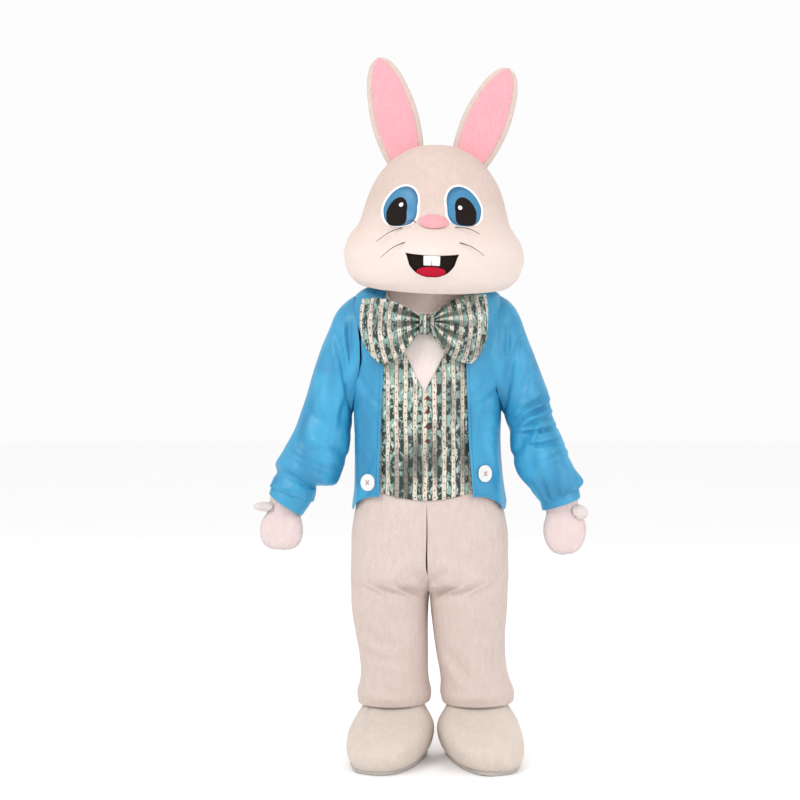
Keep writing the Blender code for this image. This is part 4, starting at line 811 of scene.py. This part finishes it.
def headForm():
    # the plush surface of the head, with a hole at the neck
    shape = bmesh.new()
    rings = headShape["rings"]
    bmesh.ops.create_uvsphere(shape, u_segments=headShape["segments"], v_segments=rings, radius=1.0)
    pole = min(shape.verts, key=lambda vert: vert.co.z)
    bmesh.ops.delete(shape, geom=[pole], context="VERTS")
    for vert in shape.verts:
        tilt = math.acos(max(-1.0, min(1.0, vert.co.z)))
        place = 1.0 - tilt / (math.pi * (rings - 1) / rings)
        spot = poseHead(headSpot(math.atan2(-vert.co.y, vert.co.x), place))
        away = (spot - Vector(headShape["core"])).normalized()
        groove = math.exp(-((spot.y - headShape["seamY"]) / headShape["seamWidth"]) ** 2)
        lump = noise.noise(spot * 16.0) * headShape["lumps"]
        vert.co = spot + away * (lump - groove * headShape["seamDepth"])
    turnOutward(shape)
    return shape


def mouthEdge(x, upper):
    # height of the mouth's upper or lower edge at x
    rows = headShape["mouth"]
    away = min(abs(x), rows[-1][0])
    spot = next(number for number in range(1, len(rows)) if rows[number][0] >= away - 1e-6)
    start, end = rows[spot - 1], rows[spot]
    place = (spot - 1 + (away - start[0]) / (end[0] - start[0])) / (len(rows) - 1)
    return through(rows, place)[1 if upper else 2]


def mouthSpot(across, up):
    # a point of the unit disc laid over the mouth
    x = headShape["mouth"][-1][0] * across
    low, high = mouthEdge(x, False), mouthEdge(x, True)
    rise = up / math.sqrt(max(1.0 - across * across, 1e-9))
    return x, between(low, high, (max(-1.0, min(1.0, rise)) + 1.0) / 2.0)


def mouthCutter():
    shape = bmesh.new()
    bmesh.ops.create_circle(shape, segments=96, radius=1.0)
    for vert in shape.verts:
        x, z = mouthSpot(vert.co.x, vert.co.y)
        vert.co = Vector((x, -0.34, z))
    face = shape.faces.new(shape.verts[:])
    pushed = bmesh.ops.extrude_face_region(shape, geom=[face])
    moved = [item for item in pushed["geom"] if isinstance(item, bmesh.types.BMVert)]
    bmesh.ops.translate(shape, verts=moved, vec=(0.0, 0.24, 0.0))
    for vert in shape.verts:
        vert.co = poseHead(vert.co)
    turnOutward(shape)
    return addCutter("mouthCutter", shape)


def addCutter(name, shape):
    cutter = bpy.data.objects.new(name, meshFrom(shape, name))
    collection.objects.link(cutter)
    return cutter


def carve(piece, cutter):
    cut = piece.modifiers.new("Cut", "BOOLEAN")
    cut.operation = "DIFFERENCE"
    cut.solver = "EXACT"
    cut.object = cutter
    settle(piece)
    bpy.data.objects.remove(cutter)


def solidHead():
    # the head as one closed form a little inside its plush, for seating pieces on it
    shape = headForm()
    core = Vector(headShape["core"])
    for vert in shape.verts:
        vert.co -= (vert.co - core).normalized() * 0.0015
    holes = [edge for edge in shape.edges if edge.is_boundary]
    bmesh.ops.holes_fill(shape, edges=holes, sides=0)
    turnOutward(shape)
    return addCutter("headSeat", shape)


def makeHead():
    shape = headForm()
    headShape["tree"] = BVHTree.FromBMesh(shape)
    head = addObject("headPlushShell", meshFrom(shape, "headPlushShell"), finishes["headPlush"])
    wall = head.modifiers.new("Wall", "SOLIDIFY")
    wall.thickness = headShape["wall"]
    wall.offset = -1.0
    carve(head, mouthCutter())
    pressFolds(head, headShape["creases"], fromAxis(*headShape["core"][:2]))
    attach(head, "root")
    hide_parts("head_front", "head_back")


# ears

ears = {
    "base": {"left": (0.1009, 0.0, 0.440), "right": (-0.1006, 0.0, 0.440)},
    "tip": {"left": (0.2112, -0.010, 0.7205), "right": (-0.1910, -0.010, 0.7400)},
    # place along the ear, half width and half thickness
    "form": [(-0.06, 0.055, 0.017), (0.00, 0.060, 0.017), (0.10, 0.067, 0.017),
             (0.25, 0.0725, 0.016), (0.40, 0.0740, 0.015), (0.55, 0.0700, 0.014),
             (0.70, 0.0620, 0.013), (0.82, 0.0520, 0.012), (0.92, 0.0370, 0.010),
             (0.975, 0.0210, 0.007), (1.003, 0.0, 0.0)],
    "rim": 0.0175, "pinkOut": 0.0030, "pinkThick": 0.0022, "pinkFrom": 0.085,
}


def earSpot(side, place, share, face, out=0.0):
    base, tip = Vector(ears["base"][side]), Vector(ears["tip"][side])
    axis = tip - base
    across = Vector((axis.z, 0.0, -axis.x)).normalized()
    along, half, thick = through(ears["form"], place)
    swell = max(0.0, 1.0 - share * share) ** 0.4
    spot = base + axis * along + across * (half * share)
    return poseHead(spot + Vector((0.0, face * (thick + out) * swell, 0.0)))


def makeEar(side):
    shape = bmesh.new()
    bmesh.ops.create_uvsphere(shape, u_segments=56, v_segments=64, radius=1.0)
    for vert in shape.verts:
        place = 1.0 - math.acos(max(-1.0, min(1.0, vert.co.z))) / math.pi
        turn = math.atan2(vert.co.y, vert.co.x)
        spot = earSpot(side, place, math.cos(turn), 1.0 if math.sin(turn) >= 0.0 else -1.0)
        vert.co = spot + Vector((0.0, noise.noise(spot * 18.0) * 0.0012, 0.0))
    turnOutward(shape)
    name = "ear" + side.title()
    ear = addObject(name, meshFrom(shape, name), finishes["headPlush"])
    carve(ear, solidHead())
    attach(ear, "root")
    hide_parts("ear_" + side)


def makeEarPink(side):
    shape = bmesh.new()
    bmesh.ops.create_grid(shape, x_segments=28, y_segments=72, size=1.0)
    for vert in shape.verts:
        place = between(ears["pinkFrom"], 0.985, (vert.co.y + 1.0) / 2.0)
        half = through(ears["form"], place)[1]
        edge = max(0.05, 1.0 - ears["rim"] / max(half, 0.0001))
        spot = earSpot(side, place, vert.co.x * edge, -1.0, ears["pinkOut"])
        vert.co = spot + Vector((0.0, noise.noise(spot * 22.0) * 0.0008, 0.0))
    turnOutward(shape)
    name = "earPink" + side.title()
    pink = addObject(name, meshFrom(shape, name), finishes["pinkPlush"])
    felt = pink.modifiers.new("Felt", "SOLIDIFY")
    felt.thickness = ears["pinkThick"]
    felt.offset = 0.0
    carve(pink, solidHead())
    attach(pink, "root")
    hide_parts("ear_inner_" + side)


# face

face = {
    # middle, half width, half height above and below, squareness of the lower half
    "iris": {"left": (0.1185, 0.2590, 0.0510, 0.0625, 0.0560, 2.7),
             "right": (-0.0705, 0.2615, 0.0500, 0.0620, 0.0575, 2.7)},
    "pupil": {"left": (0.1235, 0.2455, 0.0315, 0.0440, 0.0405, 3.6),
              "right": (-0.0815, 0.2470, 0.0300, 0.0440, 0.0415, 3.6)},
    "glint": {"left": (0.1060, 0.2575, 0.0062, 0.0062, 0.0062, 2.0),
              "right": (-0.0680, 0.2680, 0.0062, 0.0062, 0.0062, 2.0)},
    "lean": 0.24, "rim": 0.0066, "backing": 0.0030,
    # the iris's main and worn colours, its roughness, its reach and the colour at its rim
    "irisLook": ((0.028, 0.185, 0.35), (0.045, 0.24, 0.43), 0.35), "reach": 0.062,
    "irisRim": (0.014, 0.105, 0.22),
    "tongue": {"half": 0.043, "top": 0.0785, "edge": 0.066},
}


def eyeSpot(kind, side, grow=0.0):
    # a point of the unit disc laid over an eye piece: round above, flatter below
    x0, z0, half, above, below, square = face[kind][side]
    inward = -1.0 if side == "left" else 1.0

    def place(across, up):
        power = 2.0 if up >= 0.0 else square
        radius = max(math.hypot(across, up), 1e-9)
        stretch = (abs(across / radius) ** power + abs(up / radius) ** power) ** (-1.0 / power)
        across, up = across * stretch, up * stretch
        z = up * (above + grow if up > 0.0 else below + 0.4 * grow)
        lean = inward * face["lean"] * max(up, 0.0) * above
        return x0 + across * (half + grow) + lean, z0 + z
    return place


def surfaceY(x, z):
    spot = headShape["tree"].ray_cast(Vector((x, -1.0, z)), Vector((0.0, 1.0, 0.0)))[0]
    return spot.y


def layOnHead(name, node, finish, place, out, dome):
    # a shaped, slightly domed disc that follows the head's surface
    shape = bmesh.new()
    bmesh.ops.create_uvsphere(shape, u_segments=72, v_segments=24, radius=1.0)
    bmesh.ops.rotate(shape, verts=shape.verts, cent=(0.0, 0.0, 0.0),
                     matrix=Matrix.Rotation(math.pi / 2, 3, "X"))
    for vert in shape.verts:
        x, z = place(vert.co.x, vert.co.z)
        front = -vert.co.y
        rise = (dome if front > 0.0 else face["backing"]) * front
        vert.co = Vector((x, surfaceY(x, z) - out - rise, z))
    turnOutward(shape)
    piece = addObject(name, meshFrom(shape, name), finishes[finish])
    settle(piece)
    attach(piece, "root")
    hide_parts(node)
    return piece


def makeEye(side):
    x0, z0 = face["iris"][side][:2]
    disc = ((x0, surfaceY(x0, z0), z0), face["reach"], face["irisRim"])
    finishes["iris"] = plasticFinish("iris" + side.title(), *face["irisLook"], disc)
    layOnHead("eyeRim" + side.title(), "eye_white_" + side, "eyeWhite",
              eyeSpot("iris", side, face["rim"]), 0.0, 0.0030)
    layOnHead("eyeIris" + side.title(), "eye_iris_" + side, "iris",
              eyeSpot("iris", side), 0.0022, 0.0030)
    layOnHead("eyePupil" + side.title(), "eye_pupil_" + side, "eyeBlack",
              eyeSpot("pupil", side), 0.0052, 0.0020)
    layOnHead("eyeGlint" + side.title(), "eye_glint_" + side, "glintWhite",
              eyeSpot("glint", side), 0.0072, 0.0012)


def tongueSpot(across, up):
    # the tongue fills the bottom of the mouth below an arc
    shape = face["tongue"]
    x = shape["half"] * across
    low = mouthEdge(x, False) + 0.0008
    high = between(shape["edge"], shape["top"], math.sqrt(max(1.0 - across * across, 0.0)))
    rise = up / math.sqrt(max(1.0 - across * across, 1e-9))
    z = between(low, max(high, low + 0.0010), (max(-1.0, min(1.0, rise)) + 1.0) / 2.0)
    posed = poseHead(Vector((x, -0.26, z)))
    return posed.x, posed.z


def liningSpot(across, up):
    x, z = mouthSpot(across, up)
    posed = poseHead(Vector((x * 1.05, -0.25, 0.085 + (z - 0.085) * 1.10)))
    return posed.x, posed.z


def makeFace():
    for side in sides:
        makeEye(side)
        smoothCopy("tooth_" + side, "toothFelt")
    nose = smoothCopy("nose", "nosePlush", 3)
    lining = layOnHead("mouthLining", "mouth_lining", "mouthFelt", liningSpot,
                       -0.0105, 0.0010)
    tongue = layOnHead("tongueFelt", "tongue", "tongueFelt", tongueSpot,
                       -0.0080, 0.0035)
    for word in ("left_lower", "left_upper", "right_lower", "right_short", "right_upper"):
        smoothCopy("whisker_" + word, "whiskerBlack")


# sewing

stitches = {"pitch": 0.0075, "length": 0.0050, "radius": 0.0006, "inset": 0.009}


def edgeLine(piece, low, high, spread, measure):
    # points beside a piece's edge, stepped along it: measure gives the step's axis and the edge's
    line = []
    steps = int((high - low) / spread)
    stepAxis, edgeAxis, sign = measure
    front = [vert.co for vert in piece.data.vertices if vert.co.y < 0.0]
    for number in range(steps + 1):
        level = low + number * spread
        near = [spot[edgeAxis] * sign for spot in front if abs(spot[stepAxis] - level) < spread * 0.6]
        if near:
            edge = sign * (min(near) + stitches["inset"])
            line.append((edge, level) if stepAxis == 2 else (level, edge))
    return line


def sewRun(name, piece, lines, finish):
    # stitches laid on the cloth along lines seen from the front
    tree = BVHTree.FromPolygons([vert.co for vert in piece.data.vertices],
                                [face.vertices for face in piece.data.polygons])
    shape = bmesh.new()
    sight = Vector((0.0, 1.0, 0.0))
    for line in lines:
        far = 0.0
        for (startX, startZ), (endX, endZ) in zip(line, line[1:]):
            length = math.hypot(endX - startX, endZ - startZ)
            while far < length:
                share = far / length
                far += stitches["pitch"]
                x, z = between(startX, endX, share), between(startZ, endZ, share)
                hit, normal, _, _ = tree.ray_cast(Vector((x, -1.0, z)), sight)
                if hit is None:
                    continue
                course = Vector((endX - startX, 0.0, endZ - startZ)).normalized()
                course = (course - normal * course.dot(normal)).normalized()
                spot = Matrix.Translation(hit + normal * stitches["radius"] * 0.5)
                aim = course.to_track_quat("Z", "Y").to_matrix().to_4x4()
                bmesh.ops.create_cone(shape, cap_ends=True, segments=6, radius1=stitches["radius"],
                                      radius2=stitches["radius"] * 0.8, depth=stitches["length"],
                                      matrix=spot @ aim)
            far -= length
    run = addObject(name, meshFrom(shape, name), finishes[finish])
    run.data.shade_smooth()
    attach(run, "root")


def sewJacket():
    for side, sign in (("left", 1), ("right", -1)):
        front = pieces["jacketFront" + side.title()]
        opening = edgeLine(front, -0.615, -0.20, 0.012, (2, 0, sign))
        spans = [vert.co.x * sign for vert in front.data.vertices if vert.co.z < -0.45]
        low, high = min(spans) + 0.012, max(spans) - 0.012
        if sign < 0:
            low, high = -high, -low
        hem = edgeLine(front, low, high, 0.010, (0, 2, 1))
        sewRun("jacketStitch" + side.title(), front, [opening, hem], "blueThread")
        vest = pieces["vestFront" + side.title()]
        middle = edgeLine(vest, -0.60, -0.30, 0.020, (2, 0, sign))
        sewRun("vestStitch" + side.title(), vest, [middle], "creamThread")


# mitts and boots

mitts = {
    # how flat the palm lies, its middle, how far it stretches down, how square and how narrow
    # it is there, and the thumb's shift, growth and flat size
    "left": {"flat": 0.74, "middle": -0.700, "stretch": 1.26, "square": 2.3, "narrow": 0.96,
             "thumbMove": (-0.010, 0.0, 0.016), "thumbGrow": (1.30, 1.10, 1.25),
             "thumbCut": (0.10, 0.048)},
    "right": {"flat": 0.64, "middle": -0.705, "stretch": 1.00, "square": 2.6, "narrow": 1.0,
              "thumbMove": (0.010, 0.0, 0.022), "thumbGrow": (1.0, 1.0, 0.72),
              "thumbCut": (0.10, 0.046)},
}


def shapeMitt(piece, side):
    # the mitt hangs longer and squarer below its middle than a ball
    form = mitts[side]
    spots = [vert.co for vert in piece.data.vertices if abs(vert.co.z - form["middle"]) < 0.02]
    middleX = (min(spot.x for spot in spots) + max(spot.x for spot in spots)) / 2
    for vert in piece.data.vertices:
        away = Vector((vert.co.x - middleX, vert.co.z - form["middle"]))
        if away.y < 0.0:
            # the lower corners are filled out, as in a mitt laid flat
            turn = math.atan2(away.y, away.x)
            power = form["square"]
            grow = (abs(math.cos(turn)) ** power + abs(math.sin(turn)) ** power) ** (-1.0 / power)
            narrow = between(1.0, form["narrow"], soften(-away.y / 0.05))
            vert.co.x = middleX + away.x * grow * narrow
            vert.co.z = form["middle"] + away.y * grow * form["stretch"]
    piece.data.update()


def paintRimShade(palm, flat):
    # the palm lies flatter than a ball, and its rim, where it turns away from the front, is marked
    # for a grey-white colour: the mitt's white edge with painted shade on it
    seam = max(vert.co.y for vert in palm.data.vertices)
    rim = palm.data.attributes.new("rim", "FLOAT", "POINT")
    for vert in palm.data.vertices:
        rim.data[vert.index].value = soften((vert.normal.y + 0.74) / 0.30)
        vert.co.y = seam + (vert.co.y - seam) * flat
    palm.data.update()


def moveThumb(thumb, side):
    form = mitts[side]
    middle = middleOf(thumb)
    grow = Matrix.Diagonal(form["thumbGrow"])
    for vert in thumb.data.vertices:
        vert.co = middle + Vector(form["thumbMove"]) + grow @ (vert.co - middle)
    thumb.data.update()


def makeMitts():
    for side in sides:
        palm = smoothCopy("glove_palm_" + side, "palmPlush")
        back = smoothCopy("glove_back_" + side, "glovePlush")
        thumb = smoothCopy("glove_thumb_" + side, "glovePlush")
        paintRimShade(palm, mitts[side]["flat"])
        for piece in (palm, back):
            shapeMitt(piece, side)
        moveThumb(thumb, side)


# seams over the instep
bootSeams = [(-1, -0.1600, -1.225, -0.1840, -1.370, 0.0045, 0.0045, 0.0010),
             (-1, 0.1020, -1.245, 0.1500, -1.370, 0.0045, 0.0045, 0.0010)]


def makeBoots():
    for side in sides:
        for part in ("vamp", "heel"):
            piece = smoothCopy("foot_%s_%s" % (part, side), "footPlush")
            pressFolds(piece, bootSeams, lambda spot: Vector((0.0, -0.7, 0.7)))
        smoothCopy("foot_sole_" + side, "soleGrey")


buttonThread = {"reach": 0.0078, "radius": 0.0009, "out": 0.0003}


def makeButtonThread(button, side):
    # two crossed stitches through the four holes
    faces = button.data.polygons
    front = sum((face.normal * face.area for face in faces if face.normal.y < -0.6), Vector())
    front.normalize()
    middle = middleOf(button)
    near = [vert.co - middle for vert in button.data.vertices]
    level = max(spot.dot(front) for spot in near if (spot - front * spot.dot(front)).length < 0.009)
    aim = front.to_track_quat("Z", "Y").to_matrix()
    shape = bmesh.new()
    for turn in (math.pi / 4, 3 * math.pi / 4):
        start = len(shape.verts)
        bmesh.ops.create_cone(shape, cap_ends=True, segments=10, radius1=buttonThread["radius"],
                              radius2=buttonThread["radius"], depth=2 * buttonThread["reach"])
        shape.verts.ensure_lookup_table()
        made = shape.verts[start:]
        for angle, axis in ((math.pi / 2, "Y"), (turn, "Z")):
            bmesh.ops.rotate(shape, verts=made, cent=(0, 0, 0),
                             matrix=Matrix.Rotation(angle, 3, axis))
    place = Matrix.Translation(middle + front * (level + buttonThread["out"])) @ aim.to_4x4()
    bmesh.ops.transform(shape, matrix=place, verts=shape.verts)
    name = "buttonThread" + side.title()
    thread = addObject(name, meshFrom(shape, name), finishes["redThread"])
    thread.data.shade_smooth()
    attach(thread, "root")


def makeJacketButtons():
    for side in sides:
        button = smoothCopy("jacket_button_" + side, "buttonWhite")
        makeButtonThread(button, side)


makeJumpsuit()
print("jumpsuit made")
makeJacket()
makeJacketButtons()
print("jacket made")
makeVest()
sewJacket()
print("vest and bow tie made")
makeHead()
for side in sides:
    makeEar(side)
    makeEarPink(side)
makeFace()
print("head made")
makeMitts()
makeBoots()
print("mitts and boots made")


# floor, light and camera

studio = {
    "floor": -1.4005, "camera": (-0.071, -4.0, -0.307), "sensor": 36.0, "across": 2.48, "air": 0.98,
    # place, target, size and power
    "lights": {"keyLight": ((-2.4, -3.4, 2.6), (0.0, 0.0, -0.3), 2.2, 85),
               "fillLight": ((2.8, -3.2, 1.2), (0.0, 0.0, -0.4), 2.8, 40),
               "backLight": ((0.6, 3.0, 2.6), (0.0, 0.0, 0.0), 2.4, 30)}}


def addStage():
    floor = bmesh.new()
    bmesh.ops.create_grid(floor, x_segments=2, y_segments=2, size=30.0)
    bmesh.ops.translate(floor, verts=floor.verts, vec=(0.0, 0.0, studio["floor"]))
    mesh = meshFrom(floor, "studioFloor")
    paper, tree, shader, vector = startFinish("studioPaper", roughness=0.85, specular=0.2)
    tone = noiseNode(tree, vector, 3.0, 2.0)
    tree.links.new(mixColour(tree, tone, (0.985, 0.985, 0.985), (0.965, 0.965, 0.965)),
                   shader.inputs["Base Color"])
    mesh.materials.append(paper)
    stage = bpy.data.objects.new("studioFloor", mesh)
    collection.objects.link(stage)


def addLight(name, place, target, size, power):
    light = bpy.data.lights.new(name, "AREA")
    light.shape = "DISK"
    light.size = size
    light.energy = power
    lamp = bpy.data.objects.new(name, light)
    lamp.location = place
    lamp.rotation_euler = (Vector(target) - Vector(place)).to_track_quat("-Z", "Y").to_euler()
    collection.objects.link(lamp)


addStage()
for name, setting in studio["lights"].items():
    addLight(name, *setting)
world = bpy.data.worlds.new("studioAir")
world.use_nodes = True
feed(world.node_tree, world.node_tree.nodes["Background"], {"Color": (1.0, 1.0, 1.0),
                                                            "Strength": studio["air"]})
bpy.context.scene.world = world
bpy.context.scene.view_settings.view_transform = "Standard"

lens = bpy.data.cameras.new("studioCamera")
lens.sensor_width = studio["sensor"]
lens.lens = studio["sensor"] * -studio["camera"][1] / studio["across"]
camera = bpy.data.objects.new("studioCamera", lens)
camera.location = studio["camera"]
camera.rotation_euler = (math.pi / 2, 0.0, 0.0)
collection.objects.link(camera)
bpy.context.scene.camera = camera
print("stage set")
